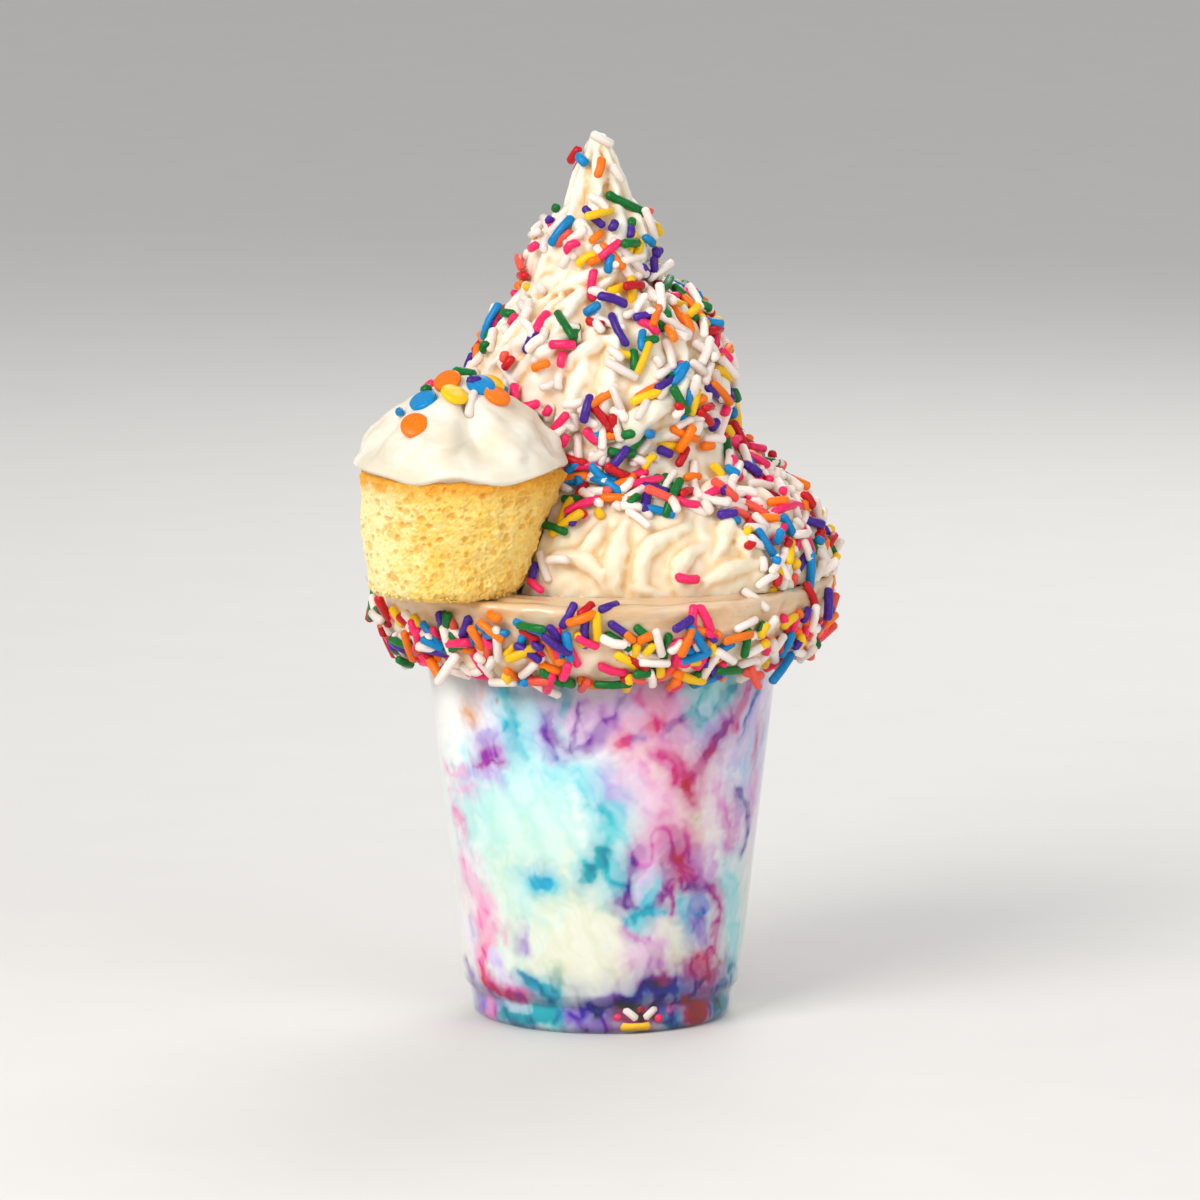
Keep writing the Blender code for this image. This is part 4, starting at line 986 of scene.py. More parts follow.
def rope_grid(turns, rounds):
    """The rope: a rounded section that leans inwards, carried up round the axis.

    Its surface moves out by a narrow crest that repeats along the rope and slants round the
    section, and finer ribs ride on each flute.
    """
    tier = climb(turns)
    amounts = (TIER_RADIUS, TIER_HEIGHT, TIER_HALF_LENGTH, TIER_HALF_DEPTH)
    amounts += (np.radians(TIER_LEAN), TIER_FLUTE_DEPTH, TIER_SLANT)
    middle, height, length, depth, lean, flute, slant = (
        np.interp(tier, TIERS, amount)[:, None] for amount in amounts
    )
    angle = (FRONT + 2 * np.pi * turns)[:, None]
    step = np.gradient(angle[:, 0]) * (middle + depth)[:, 0]
    travelled = np.concatenate([[0.0], np.cumsum(step)[:-1]])[:, None]
    turn = around(rounds)[None, :]
    phase = 2 * np.pi * travelled / FLUTE_WIDTH + slant * 2.0 * turn
    wander = phase + 0.7 * np.sin(0.37 * phase)
    crest = (0.5 + 0.5 * np.cos(wander)) ** 1.4
    rib = np.sin(3 * wander + 0.8 * np.sin(turn * 2)) * (1 - crest)
    front = eased(np.cos(angle - FRONT), 0.5, 0.9) * eased(-tier, -0.9, -0.3)[:, None]
    grown = flute * (1 - 0.85 * front) * (crest - 0.6 + 0.05 * rib)
    out = (depth + grown) * np.sin(turn)
    up = (length + grown) * np.cos(turn)
    radius = middle - up * np.sin(lean) + out * np.cos(lean)
    level = height + up * np.cos(lean) + out * np.sin(lean)
    return carried(radius, angle, level, axis_at(level))


def spindle(heights, radii, flutes=0.0, twist=0.0):
    """A round form on the swirl's axis, of given radii at given heights, with flutes that
    turn as it rises."""
    rows, columns = SPINDLE_GRID
    height = np.linspace(heights[0], heights[-1], rows)[:, None]
    turn = around(columns)[None, :]
    fluted = 1 + flutes * np.cos(8 * turn + twist * (height - heights[0]))
    return carried(np.interp(height, heights, radii) * fluted, turn, height, axis_at(height))


def smoothed(values, times):
    """Values along a line, each mixed with its neighbours a few times. The ends stay."""
    for _ in range(times):
        values[1:-1] = 0.25 * (values[:-2] + values[2:]) + 0.5 * values[1:-1]
    return values


def ridge_grid(tree, radii, line):
    """A round ridge along a line on the rope: a circle carried along it, half sunk, which
    thins to nothing at both ends."""
    gone = np.concatenate([[0.0], np.cumsum(np.linalg.norm(np.diff(line, axis=0), axis=1))])
    count = max(8, int(gone[-1] / 0.8))
    share = np.linspace(0.0, 1.0, count)
    smooth = [np.interp(share * gone[-1], gone, line[:, i]) for i in (0, 1)]
    smooth = smoothed(np.stack(smooth, axis=-1), 3)
    hits = [seen(tree, x, up)[0] for x, up in smooth]
    depth = np.array([np.nan if hit is None else hit[1] for hit in hits])
    known = ~np.isnan(depth)
    depth = smoothed(np.interp(share, share[known], depth[known]), 4)
    sight = np.stack([smooth[:, 0], np.zeros(count), smooth[:, 1]], axis=-1) - VIEW_FROM
    middle = VIEW_FROM + sight * ((depth - VIEW_FROM[1]) / sight[:, 1])[:, None]
    radius = 1.6 * np.interp(share, (0.0, 0.5, 1.0), radii)
    radius = radius * np.sqrt(np.sin(np.pi * (0.02 + 0.96 * share)))
    middle[:, 1] -= 0.3 * radius
    way = unit(np.gradient(middle, axis=0))
    side = unit(np.cross(way, [0.0, 1.0, 0.0]))
    other = np.cross(way, side)
    turn = around(14)[None, :, None]
    ring = side[:, None] * np.cos(turn) + other[:, None] * np.sin(turn)
    return middle[:, None] + radius[:, None, None] * ring


def make_swirl():
    """The swirl: rope, point, core and ridges joined by a fine voxel skin, then smoothed."""
    rope = rope_grid(np.linspace(*ROPE_TURNS, ROPE_GRID[0]), ROPE_GRID[1])
    point = spindle(POINT_LEVELS, POINT_RADII, 0.13, 0.03)
    shapes = [with_poles(grid) for grid in (rope, point, spindle(CORE_LEVELS, CORE_RADII))]
    points, faces = merged(shapes)
    rows = [tuple(row) for face in faces for row in face.tolist()]
    tree = BVHTree.FromPolygons(points.tolist(), rows)
    for row in RIDGES.split(";"):
        *radii, line = row.split(maxsplit=3)
        ridge = ridge_grid(tree, [float(radius) for radius in radii], numbers(line))
        shapes.append(with_poles(ridge))
    points, faces = merged(shapes)
    points[:, 2] = np.maximum(points[:, 2], SWIRL_BASE - 3.0)
    made = piece_of("piped_swirl", (points, faces), cream(), ["yogurt_swirl"])
    skin = made.modifiers.new("skin", "REMESH")
    skin.mode = "VOXEL"
    skin.voxel_size = SWIRL_VOXEL * MM
    skin.use_smooth_shade = True
    soft = made.modifiers.new("soft", "SMOOTH")
    soft.factor = 0.5
    soft.iterations = 2
    graph = bpy.context.evaluated_depsgraph_get()
    mesh = bpy.data.meshes.new_from_object(made.evaluated_get(graph))
    made.modifiers.clear()
    made.data = mesh
    mesh.shade_smooth()
    points = pressed(places_of(mesh))
    mesh.vertices.foreach_set("co", (points * MM).astype(np.float32).ravel())
    mesh.update()
    return made


def cake_reach(points, seam):
    """How far the cupcake reaches from its axis at each point's height, where that axis is,
    and how high the point is above the cake's foot. seam is how far above the cake's rim the
    frosting starts."""
    rise = points[:, 2] - SWIRL_BASE
    share = np.clip(rise / CAKE_HEIGHT, 0, 1)
    lean = np.subtract(CAKE_TOP_CENTRE, CAKE_BASE_CENTRE)
    middle = np.array(CAKE_BASE_CENTRE) + share[:, None] * lean
    dome = np.interp((rise - CAKE_HEIGHT) / FROSTING_HEIGHT, DOME_LEVELS, DOME_RADII)
    reach = np.where(rise < CAKE_HEIGHT + seam, cake_radius(share), FROSTING_RADIUS * dome)
    return reach, middle, rise


def pressed(points):
    """The swirl's points moved a little by smooth noise, pressed flat where it stands, and
    back where the cupcake leans on it."""
    points += 0.22 * drift(points, 5.0, 31, 3)
    points[:, 2] = np.maximum(points[:, 2], SWIRL_BASE - 0.25)
    reach, middle, rise = cake_reach(points, GAP)
    keep = np.where(rise > CAKE_HEIGHT + FROSTING_HEIGHT, 0.0, reach + 0.25)
    away = points[:, :2] - middle
    gone = np.linalg.norm(away, axis=1)
    inside = gone < keep
    pushed = middle + away * (keep / np.maximum(gone, 1e-6))[:, None]
    points[inside, :2] = pushed[inside]
    return points


def cream():
    """Soft-serve cream: near white on its ridges, with warm painted shade darkening its folds,
    warmer towards its foot, softly glossy."""
    paint = Paint(
        "cream",
        (0.35, 4.0, (1.0, 0.72, 0.42)),
        Specular_IOR_Level=0.45,
        Coat_Weight=0.3,
        Coat_Roughness=0.24,
    )
    edge = paint.node("ShaderNodeNewGeometry", {}, {}, "Pointiness")
    blot = paint.noise(45.0)
    height = paint.node("ShaderNodeSeparateXYZ", {}, {"Vector": paint.place}, "Z")
    fine = paint.noise(260.0)
    # Painted shade: folds found by their curvature are darkened to warm tan, the deepest to brown
    base = paint.blend(edge.step(0.45, 0.518), tint("EEC487"), tint("FAF2E0"))
    base = paint.blend(edge.step(0.465, 0.425) * 0.6, base, tint("D2935A"))
    low = paint.blend(height.step(0.145, 0.118) * 0.35, base, tint("E8CC98"))
    paint.set("Base Color", paint.blend(blot.step(0.5, 0.8) * 0.25, low, tint("F2D8AC")))
    paint.set("Roughness", 0.3 + fine * 0.2)
    paint.bump(fine, 0.08, 0.35)
    return paint.material


# The cupcake


def cake_radius(share):
    """The cake's radius at a share of its height."""
    return CAKE_BASE_RADIUS + share * (CAKE_TOP_RADIUS - CAKE_BASE_RADIUS)


def pores(rows, columns, height, girth, count, seed):
    """How deep the crumb's pores are on a grid: each a round dent of its own size."""
    rng = np.random.default_rng(seed)
    depth = np.zeros((rows, columns))
    row_step, column_step = height / (rows - 1), girth / columns
    for _ in range(count):
        radius = 0.2 + 0.8 * rng.random() ** 4
        low, left = rng.uniform(0, rows), rng.uniform(0, columns)
        stretch = rng.uniform(0.8, 1.5)
        reach_r, reach_c = int(radius / row_step) + 2, int(stretch * radius / column_step) + 2
        r = np.arange(int(low) - reach_r, int(low) + reach_r + 1)
        r = r[(r >= 0) & (r < rows)][:, None]
        c = np.arange(int(left) - reach_c, int(left) + reach_c + 1)[None, :]
        gone = np.hypot((r - low) * row_step, (c - left) * column_step / stretch) / radius
        dent = 0.65 * radius * np.sqrt(np.clip(1 - gone * gone, 0, 1))
        r, c = np.broadcast_arrays(r, c % columns)
        depth[r, c] = np.maximum(depth[r, c], dent)
    return depth


def cake_grid(rows, columns):
    """The cake's side, with how deep its pores are: a tapered round that runs up into the
    frosting, rounded and ragged at its foot, grainy all over and dented by pores."""
    tall = CAKE_HEIGHT + CAKE_SUNK
    level = np.linspace(0.0, tall, rows)[:, None]
    share = level / CAKE_HEIGHT
    turn = around(columns)[None, :]
    foot = np.clip(1.0 - level / 3.2, 0.0, 1.0)
    reach = cake_radius(share) - 1.9 * foot**2 + 0.35 * np.sin(3 * turn + 0.3 * level)
    centre = [low + share * (high - low) for low, high in zip(CAKE_BASE_CENTRE, CAKE_TOP_CENTRE)]
    rough = carried(reach, turn, level)
    craggy = 0.4 + 0.6 * eased(np.cos(turn + 0.5), 0.2, 0.95) + 0.9 * foot
    reach = reach + craggy * (0.4 * ripple(rough, 7.0, 61) + 0.26 * ripple(rough, 2.8, 62))
    reach = reach + 0.13 * ripple(rough, 1.5, 63, 30) + 0.08 * ripple(rough, 0.8, 66, 30)
    reach = reach - 2.2 * eased(level, CAKE_HEIGHT + 0.8, tall)
    dents = pores(rows, columns, tall, 2 * np.pi * 22.0, PORES, 64)
    waved = 0.25 * ripple(rough, 6.0, 65) * eased(level, 0, 3) * eased(CAKE_HEIGHT - level, 0, 3)
    return carried(reach - dents, turn, SWIRL_BASE + 0.02 + level + waved, centre), dents


def cake_tones(points, dents):
    """The crumb's colours: patches of pale and mid yellow, a golden band under the frosting,
    browner round the foot, painted shade browner on the right, painted light palest on the
    left, and painted shade golden in the pores."""
    x, level = points[:, 0], points[:, 2] - SWIRL_BASE
    sizes = enumerate((7.0, 2.4, 1.1))
    large, small, fine = (ripple(points, size, 90 + k, 20) for k, size in sizes)
    pale = eased(0.4 * large + 0.45 * small + 0.6 * fine, -0.9, 0.7)
    band = 0.9 * eased(level + 1.0 * large + 1.1 * small + 0.5 * fine, 24.3, 29.8)
    # Painted shade: the right side, turned from the key lamp and beside the swirl, is browner
    right = 0.62 * eased(x + 2.5 * large + 1.6 * small + 1.2 * fine, -20.0, -9.0)
    # Painted light: the left side, which faces the key lamp, is paler
    left = 0.7 * eased(-x + 2.5 * large + 1.6 * small + 1.2 * fine, 41.0, 56.0)
    foot = 0.35 * eased(-level + 0.8 * small, -3.0, 0.5)
    # Painted shade: the pores' hollows are darkened to deep gold
    pore_shade = 0.55 * eased(dents, 0.1, 0.36)
    layers = (
        (pale, "F9DC88"),
        (left, "FFF2BE"),
        (foot, "E2A83E"),
        (band, "E89A18"),
        (right, "C88C30"),
        (pore_shade, "E0A234"),
    )
    return layered("F3C456", layers)


def make_cake(material):
    """The sponge: its grid, closed at the foot and inside the frosting."""
    grid, dents = cake_grid(*CAKE_GRID)
    shape = with_poles(grid)
    tones = cake_tones(shape[0], np.concatenate([dents.ravel(), [0.0, 0.0]]))
    piece_of("sponge_cake", shape, material, ["cupcake"], tones)


def make_crumbs(material):
    """Crumbs that hang round the cake's foot: lumps of twelve corners and twenty faces, each
    corner pushed in or out."""
    rng = np.random.default_rng(SEED + 5)
    angle = rng.uniform(0, 2 * np.pi, CRUMBS)
    level = rng.uniform(-0.25, 1.5, CRUMBS)
    reach = CAKE_BASE_RADIUS - 1.7 + 0.9 * level + rng.uniform(-0.2, 0.5, CRUMBS)
    size = 0.3 + 0.7 * rng.random(CRUMBS) ** 2
    height = SWIRL_BASE + 0.2 + 0.6 * size + np.maximum(level, 0.0)
    middle = carried(reach, angle, height, CAKE_BASE_CENTRE)
    golden = 0.5 * (1 + math.sqrt(5))
    first = [(0, a, b * golden) for a in (-1, 1) for b in (-1, 1)]
    corners = first + [(b, c, a) for a, b, c in first] + [(c, a, b) for a, b, c in first]
    corners = np.array(corners)
    near = np.linalg.norm(corners[:, None] - corners[None], axis=2) < 2.1
    threes = ((i, j, k) for i in range(12) for j in range(i) for k in range(j))
    faces = np.array([(i, j, k) for i, j, k in threes if near[i, j] and near[j, k] and near[i, k]])
    a, b, c = (corners[faces[:, i]] for i in range(3))
    inwards = (np.cross(b - a, c - a) * a).sum(axis=1) < 0
    faces[inwards] = faces[inwards][:, ::-1]
    grown = size[:, None, None] * rng.uniform(0.7, 1.25, (CRUMBS, 12, 1))
    points = (middle[:, None] + grown * unit(corners)[None]).reshape(-1, 3)
    tones = cake_tones(points, np.zeros(len(points)))
    shape = points, copied([faces], 12, CRUMBS)
    piece_of("cake_crumbs", shape, material, (), tones)


def sponge():
    """Yellow sponge: the crumb's tones, finely grained, dull and a little translucent."""
    paint = Paint(
        "sponge", (0.35, 1.2, (1.0, 0.7, 0.25)), Roughness=0.8, Specular_IOR_Level=0.12
    )
    grain = paint.noise(1500.0, 4.0, 0.65)
    light = paint.blend(grain.step(0.5, 0.75) * 0.3, paint.tone(), tint("FFEFB4"))
    paint.set("Base Color", paint.blend(grain.step(0.44, 0.3) * 0.15, light, tint("DE9E30")))
    paint.bump(grain, 0.35, 0.6)
    return paint.material


def frosting_grid(rows, columns):
    """The frosting: a dome that droops over the cake's edge, with lobes, a valley between
    them at the front, soft spooned folds and a rounded lip for its lower edge."""
    level = np.linspace(0, 1, rows)[:, None]
    turn = around(columns)[None, :]
    sides = np.sin(np.pi * np.clip(level * 1.15, 0, 1))
    fold = 0.045 * np.sin(3 * turn + 0.9) + 0.03 * np.sin(5 * turn - 0.4)
    dome = FROSTING_RADIUS * np.interp(level, DOME_LEVELS, DOME_RADII)
    reach = dome + FROSTING_RADIUS * fold * sides
    rough = carried(reach, turn, 25 * level)
    aside = turn - (FRONT + 2 * np.pi) - 0.18 - 0.35 * (0.6 - level)
    upper = eased(1 - level, 0.05, 0.3)
    valley = np.exp(-((aside / 0.19) ** 2)) * eased(level, 0.22, 0.45) * upper
    ridge = np.exp(-(((aside + 0.34) / 0.2) ** 2)) * eased(level, 0.3, 0.5)
    reach = reach - 4.4 * valley + 1.6 * ridge * sides
    reach = reach + sides * (1.1 * ripple(rough, 16.0, 71) + 0.5 * ripple(rough, 7.5, 72))
    reach = reach + 0.12 * ripple(rough, 3.2, 73) * sides
    angle = (np.degrees(turn) + 90.0 + 180.0) % 360.0 - 180.0
    rise = sum(np.interp(angle + shift, HEM_ANGLES, HEM_RISE) for shift in (-6, -3, 0, 3, 6)) / 5
    hem = 1 - eased(level, 0.0, 0.32)
    lip = np.sqrt(1.0 - (1.0 - np.clip(level / 0.07, 0, 1)) ** 2)
    bulge = CAKE_TOP_RADIUS - 0.6 + 2.2 * lip + 0.35 * np.sin(7 * turn) * lip
    reach = reach + 1.5 * np.exp(-(((angle - 56.0) / 24.0) ** 2)) * sides
    reach = reach * (1 - hem) + hem * bulge
    base = SWIRL_BASE + CAKE_HEIGHT + GAP
    waved = 0.5 * ripple(rough, 9.0, 74) * eased(level, 0.2, 0.5) * eased(1 - level, 0, 0.2)
    height = base + FROSTING_HEIGHT * level + hem * rise + waved
    under = np.array([0.5, 0.94])[:, None] * reach[:1]
    reach = np.concatenate([under, reach])
    height = np.concatenate([np.full((2, columns), base - 0.2), height])
    return carried(reach, turn, height, CAKE_TOP_CENTRE)


def make_frosting():
    """The white frosting: its grid, closed underneath and at the top."""
    shape = with_poles(frosting_grid(*FROSTING_GRID))
    return piece_of("cake_frosting", shape, white_frosting(), ["frosting"])


def white_frosting():
    """Whipped white frosting: soft, with hardly any gloss and a faint grain of tiny bubbles."""
    paint = Paint("white_frosting", (0.3, 3.0, (1.0, 0.85, 0.7)), Specular_IOR_Level=0.35)
    soft = paint.noise(60.0)
    fine = paint.noise(700.0, 3.0, 0.6)
    paint.set("Base Color", paint.blend(soft.step(0.4, 0.7), tint("E4D9C2"), tint("F5F0E2")))
    paint.set("Roughness", 0.42 + soft * 0.2)
    paint.bump(soft + fine * 0.25, 0.25, 0.4)
    return paint.material


# The sprinkles

# Single sprinkles that stand out, as seen from the front: the colour, and the places x,up
# of both ends where the line of sight crosses the cup's middle plane, in millimetres.
SWIRL_RODS = """
white -2.5,220.6 2.5,217.3; red -4.7,217.5 -8.5,213.5; blue -5.5,215.8 -2.7,212.5; orange
-0.3,214.5 -1.7,209.7; white 2.5,212.5 4.2,208.2; green 2.7,205.9 9.2,199.4; violet -4.7,202.4
0.2,196.8; violet 3.2,198.6 2.7,195.6; white -2.5,205.2 -0.3,200.9; blue -7.2,199.6 -12.2,192.6;
green -10.5,203.2 -11.5,200.1; violet -12.5,199.6 -10,197.6; white -17.2,197.1 -12.7,197.1; pink
-5.5,193.6 -8.2,190.3; orange -0.7,193.6 6.2,186.5; white 0.5,194.6 11,186.2; yellow 13.2,198.4
12.7,195.1; yellow 9.2,194.1 7,190.3; blue 9.7,194.6 12,193.3; violet 8.7,190.3 13,183.7; yellow
-6.5,188.3 -1.5,190.3; orange -3,187 1,189.3; yellow 7.7,183.5 3,176.4; violet 1.2,176.2
6.5,167.8; violet 7,173.9 16,175.9; red -4,173.6 4,171.4; green 8.5,168.1 14.2,168.8; green
7.7,166.6 8,160.5; blue 14.5,156.7 20.9,163.5; red -3.2,154.2 3.5,145.9; orange -2.7,152.9
4,156.7; pink 4.5,130 16.7,134.5; pink 16.5,110.8 24.7,108; orange -0.5,129.2 7.7,127.2; blue
35.1,140.8 36.6,132.3; green -15,123.7 -8.5,119.4; blue -30.4,169.6 -25.4,178.2; green -24.2,176.2
-18.7,173.1; orange -31.9,170.6 -28.9,169.3; green -28.7,165.8 -26.9,168.3; red -24.2,161.5
-21.4,165.1; coral -23.4,163 -21.4,167.1; orange -16.5,161.5 -13.2,164.6; pink -10.5,167.1
-9,162.5; white -18.4,167.1 -13.5,168.3; white -10.5,172.1 -4.7,171.1; green -9,167.8 -4.7,168.3;
blue -3.7,175.1 -0.5,177.2; pink -20.4,152.4 -15.5,154; pink -14,150.7 -12.5,153.5; white
-15.5,157.5 -11.5,159; white -10.5,161.5 -8,156.5; yellow 8.7,151.4 14.2,157; green 16.5,161.5
17.9,158; blue 17.4,159.5 20.4,163; white 21.9,168.3 27.4,164; red 23.4,176.7 28.4,177.2; pink
26.4,173.6 29.4,172.1; yellow 21.9,174.1 25.4,172.1; white -0.5,168.3 5,164; pink -4.2,146.9
-0.5,143.9; red 1,151.9 4,147.4; white -11.5,149.9 -7,147.4; white -3,140.6 2.5,139.3; green
1.7,141.3 7.7,142.1; yellow 9.5,136.8 13,140.3; violet 13.2,142.3 17,140.3; red 17.4,137.3
20.9,142.3; white 24.4,129.2 25.4,124.2; yellow 25.9,136.8 27.9,132.8; violet 28.2,132.8
29.9,129.2; blue 30.9,136.8 32.7,133.8; orange 22.4,141.8 27.4,142.9; white 39.4,136.8 45.1,134.3;
pink -10.5,137.3 -7.5,134.3; orange -9,134.3 -3,135.3; blue -0.5,135.8 4,133.3; white 4.5,128
9.5,125.4; red -6.2,126.2 -3,123.7; violet -9,124.2 -6.5,121.7; green 54.3,120.4 57.8,114.1; white
49.4,119.1 50.9,113.6; red 48.4,129.2 52.9,127.2; orange 41.9,126.2 45.9,129.2; yellow 50.9,124.2
54.8,125.7; white 35.4,124.2 39.9,120.7; blue 43.9,124.2 47.4,121.2; violet 29.4,124.2 33.4,126.2;
pink 40.9,120.7 44.4,118.1; white 28.4,136.8 31.9,141.3; white 31.2,166.1 32.7,161.5; pink
28.4,166.6 30.9,163.5; green 30.4,156.5 33.9,154.5; white 25.4,156.5 30.4,154; orange 21.9,152.4
25.9,155; blue 31.4,152.4 33.9,149.4; violet 24.4,146.9 27.4,149.4; yellow 28.4,147.4 31.4,144.4;
white 18.4,146.9 22.9,149.4; red 16.5,154 20.4,151.9
"""
COLLAR_RODS = """
blue -18,101 -11.5,110.6; pink -24.2,106.8 -17.7,110.6; white -18.2,109.6 -17.7,106.5; green
-16,107.5 -14.7,110.6; yellow -9.7,109.8 -8.7,106; pink -6.7,108.5 -6.2,105.5; blue -0.7,107.3
4.2,105.8; white 38.6,109 38.6,100.7; pink 27.7,109.6 37.4,107; red -45.4,96.9 -43.4,91.9; pink
-42.9,93.9 -39.4,95.9; red -44.9,90.9 -40.4,89.9; pink -41.4,97.9 -40.4,93.4; blue -29.4,94.9
-21.9,96.9; orange -8.5,97.9 -1.5,101; yellow -1.5,101 -0.5,93.9; orange 5,96.4 8,93.9; orange
8.5,93.9 12.5,95.9; violet -13.5,98.4 -10.5,93.9; pink 24.4,96.9 28.4,94.4; pink 17.9,89.9
21.4,87.9; green 22.4,87.9 22.9,81.3; blue 32.7,86.8 34.9,83.3; green 37.4,96.9 39.9,99; violet
25.4,95.9 27.9,93.9; red 42.9,95.4 43.4,90.9; violet 48.4,99 50.9,102.5; white 49.4,97.7
52.4,91.4; green 43.1,93.9 46.9,92.9; yellow 18.4,88.4 24.4,88.9; orange -19.4,91.4 -14.5,89.9;
yellow -22.9,86.8 -22.4,83.3; green -37.4,95.9 -32.9,92.9; green -38.4,97.4 -36.4,101.5; violet
-40.4,101.5 -37.9,98.4; white -50.4,96.4 -49.4,88.9; white -51.9,92.9 -50.9,86.8; white -28.9,86.8
-25.9,90.9; red -20.4,96.9 -14.5,95.4; pink -6.5,95.4 -0.5,92.9
"""
FROSTING_RODS = """
blue -50.4,151.9 -47.6,149.9; green -35.7,163.5 -33.2,157.7; violet -33.4,157 -30.4,159.5; white
-32.9,157.5 -31.4,149.7; white -39.6,164 -33.9,162.8; green -44.4,156.5 -41.9,155.5; pink
-18.9,152.2 -16.5,153.7; pink -16.5,150.4 -15,152.2; orange -13.2,146.6 -11.2,148.7
"""
# The flat round ones, in the same way, by their middles
FROSTING_DISCS = """
orange -46.4,147.4; yellow -36.9,155; orange -26.4,154.7; blue -44.1,153.5; orange -38.1,158.4;
blue -30.2,157.4; pink -41.9,158.7; pink -39.6,159.8; lilac -37.4,161; lilac -14,150.2
"""
# Sprinkles against the wall at the cup's foot: both ends as places x,z, in millimetres
FOOT_RODS = """
white 5,7 8.7,3.7; white 13.2,7 10,3.7; red 8.2,6.8 10,6.3; pink 2.8,5.2 4.7,3.9; pink 12.6,4.5
14.8,3; yellow 4.2,2.3 12,2.2
"""


def rods_of(name, rods, material):
    """Rod sprinkles as one piece: each a round section carried from its start to its end
    through a bent middle, narrowing to a rounded point at both ends.

    rods holds (start, end, bend, radius, tone) for each, in millimetres.
    """
    start, end, bend = (np.array([rod[i] for rod in rods], float) for i in range(3))
    radius = np.array([rod[3] for rod in rods], float)[:, None]
    tones = np.array([rod[4] for rod in rods], float)
    way = end - start
    length = np.linalg.norm(way, axis=1, keepdims=True)
    way = way / length
    upright = np.abs(way[:, 2:]) > 0.9
    side = unit(np.cross(way, np.where(upright, [1.0, 0.0, 0.0], [0.0, 0.0, 1.0])))
    other = np.cross(way, side)
    tip, neck = 0.14 * radius / length, 0.6 * radius / length
    shares = np.concatenate([tip, neck, np.full_like(tip, 0.5), 1 - neck, 1 - tip], axis=1)
    lift = (4 * shares * (1 - shares))[..., None] * bend[:, None, :]
    middles = start[:, None, :] + shares[..., None] * (way * length)[:, None, :] + lift
    turn = around(ROD_ROUNDS)
    ring = side[:, None, :] * np.cos(turn)[:, None] + other[:, None, :] * np.sin(turn)[:, None]
    widths = radius * np.array(ROD_SHARES)
    rings = middles[:, :, None, :] + widths[..., None, None] * ring[:, None, :, :]
    rings = rings.reshape(len(rods), -1, 3)
    points = np.concatenate([rings, start[:, None, :], end[:, None, :]], axis=1)
    each = points.shape[1]
    faces = copied(closed_faces(len(ROD_SHARES), ROD_ROUNDS), each, len(rods))
    tones = np.repeat(tones, each, axis=0)
    piece_of(name, (points.reshape(-1, 3), faces), material, (), tones)


def discs_of(name, spots, rng, material):
    """Flat round sprinkles as one piece: each a disc with a bevelled edge that faces out of
    the surface, tipped a little up and to the front.

    spots holds (colour's name, place, outward direction) for each.
    """
    count = len(spots)
    middle = np.array([spot[1] for spot in spots])
    facing = np.array([spot[2] for spot in spots]) + rng.normal(0, 0.1, (count, 3))
    facing = unit(facing + [0.0, -0.3, 0.2])
    tones = np.array([candy_tone(rng, spot[0]) for spot in spots])
    side = unit(np.cross(facing, [0.3, 1.0, 0.2]))
    other = np.cross(facing, side)
    levels = DISC_HALF * (np.array([-1.0, -1.0, -0.5, 0.5, 1.0, 1.0]) + 1.1)
    reach = DISC_RADIUS * np.array([0.4, 0.88, 1.0, 1.0, 0.88, 0.4])
    turn = around(DISC_ROUNDS)
    ring = side[:, None, :] * np.cos(turn)[:, None] + other[:, None, :] * np.sin(turn)[:, None]
    rings = middle[:, None, None, :] + levels[:, None, None] * facing[:, None, None, :]
    rings = rings + reach[:, None, None] * ring[:, None, :, :]
    points, faces = merged([with_poles(grid) for grid in rings])
    tones = np.repeat(tones, len(points) // count, axis=0)
    piece_of(name, (points, faces), material, (), tones)


def candy():
    """The hard sugar of the sprinkles: its own tone, softly glossy, a little uneven."""
    paint = Paint("candy", (0.03, 0.8, (1.0, 0.2, 0.1)), Specular_IOR_Level=0.25)
    dust = paint.noise(1500.0, 2.0)
    pale = dust.step(0.5, 0.8) * 0.04
    paint.set("Base Color", paint.blend(pale, paint.tone(), tint("FFFFFF")))
    paint.set("Roughness", 0.2 + dust * 0.22)
    paint.bump(dust, 0.06, 0.4)
    return paint.material


def candy_tone(rng, name=None, white=SWIRL_WHITE):
    """A sprinkle's colour: the named one, or one drawn by the shares, a little lighter or
    darker. white is how many of the drawn ones are white."""
    if name is None:
        names, shares = list(CANDY_SHARES), np.array(list(CANDY_SHARES.values()))
        name = "white" if rng.random() < white else names[rng.choice(len(names), p=shares)]
    return np.clip(np.array(CANDY[name]) * rng.uniform(0.88, 1.08), 0, 1)


def laid_rod(tree, rng, place, normal, way, length, lift, name=None, white=SWIRL_WHITE):
    """A rod laid on a surface: both ends are brought to just above the surface, or stay
    where they are if that would shorten it much."""
    ends = [place + share * length * way for share in (-0.5, 0.5)]
    found = [tree.find_nearest(Vector(end)) for end in ends]
    start, end = (np.array(near) + np.array(out) * lift for near, out, _, _ in found)
    if np.linalg.norm(end - start) < 0.6 * length:
        start, end = (end + normal * (lift + 0.8) for end in ends)
    bend = unit(np.cross(normal, way)) * rng.normal(0, 0.35) + normal * 0.25
    return start, end, bend, ROD_RADIUS * rng.uniform(0.88, 1.06), candy_tone(rng, name, white)


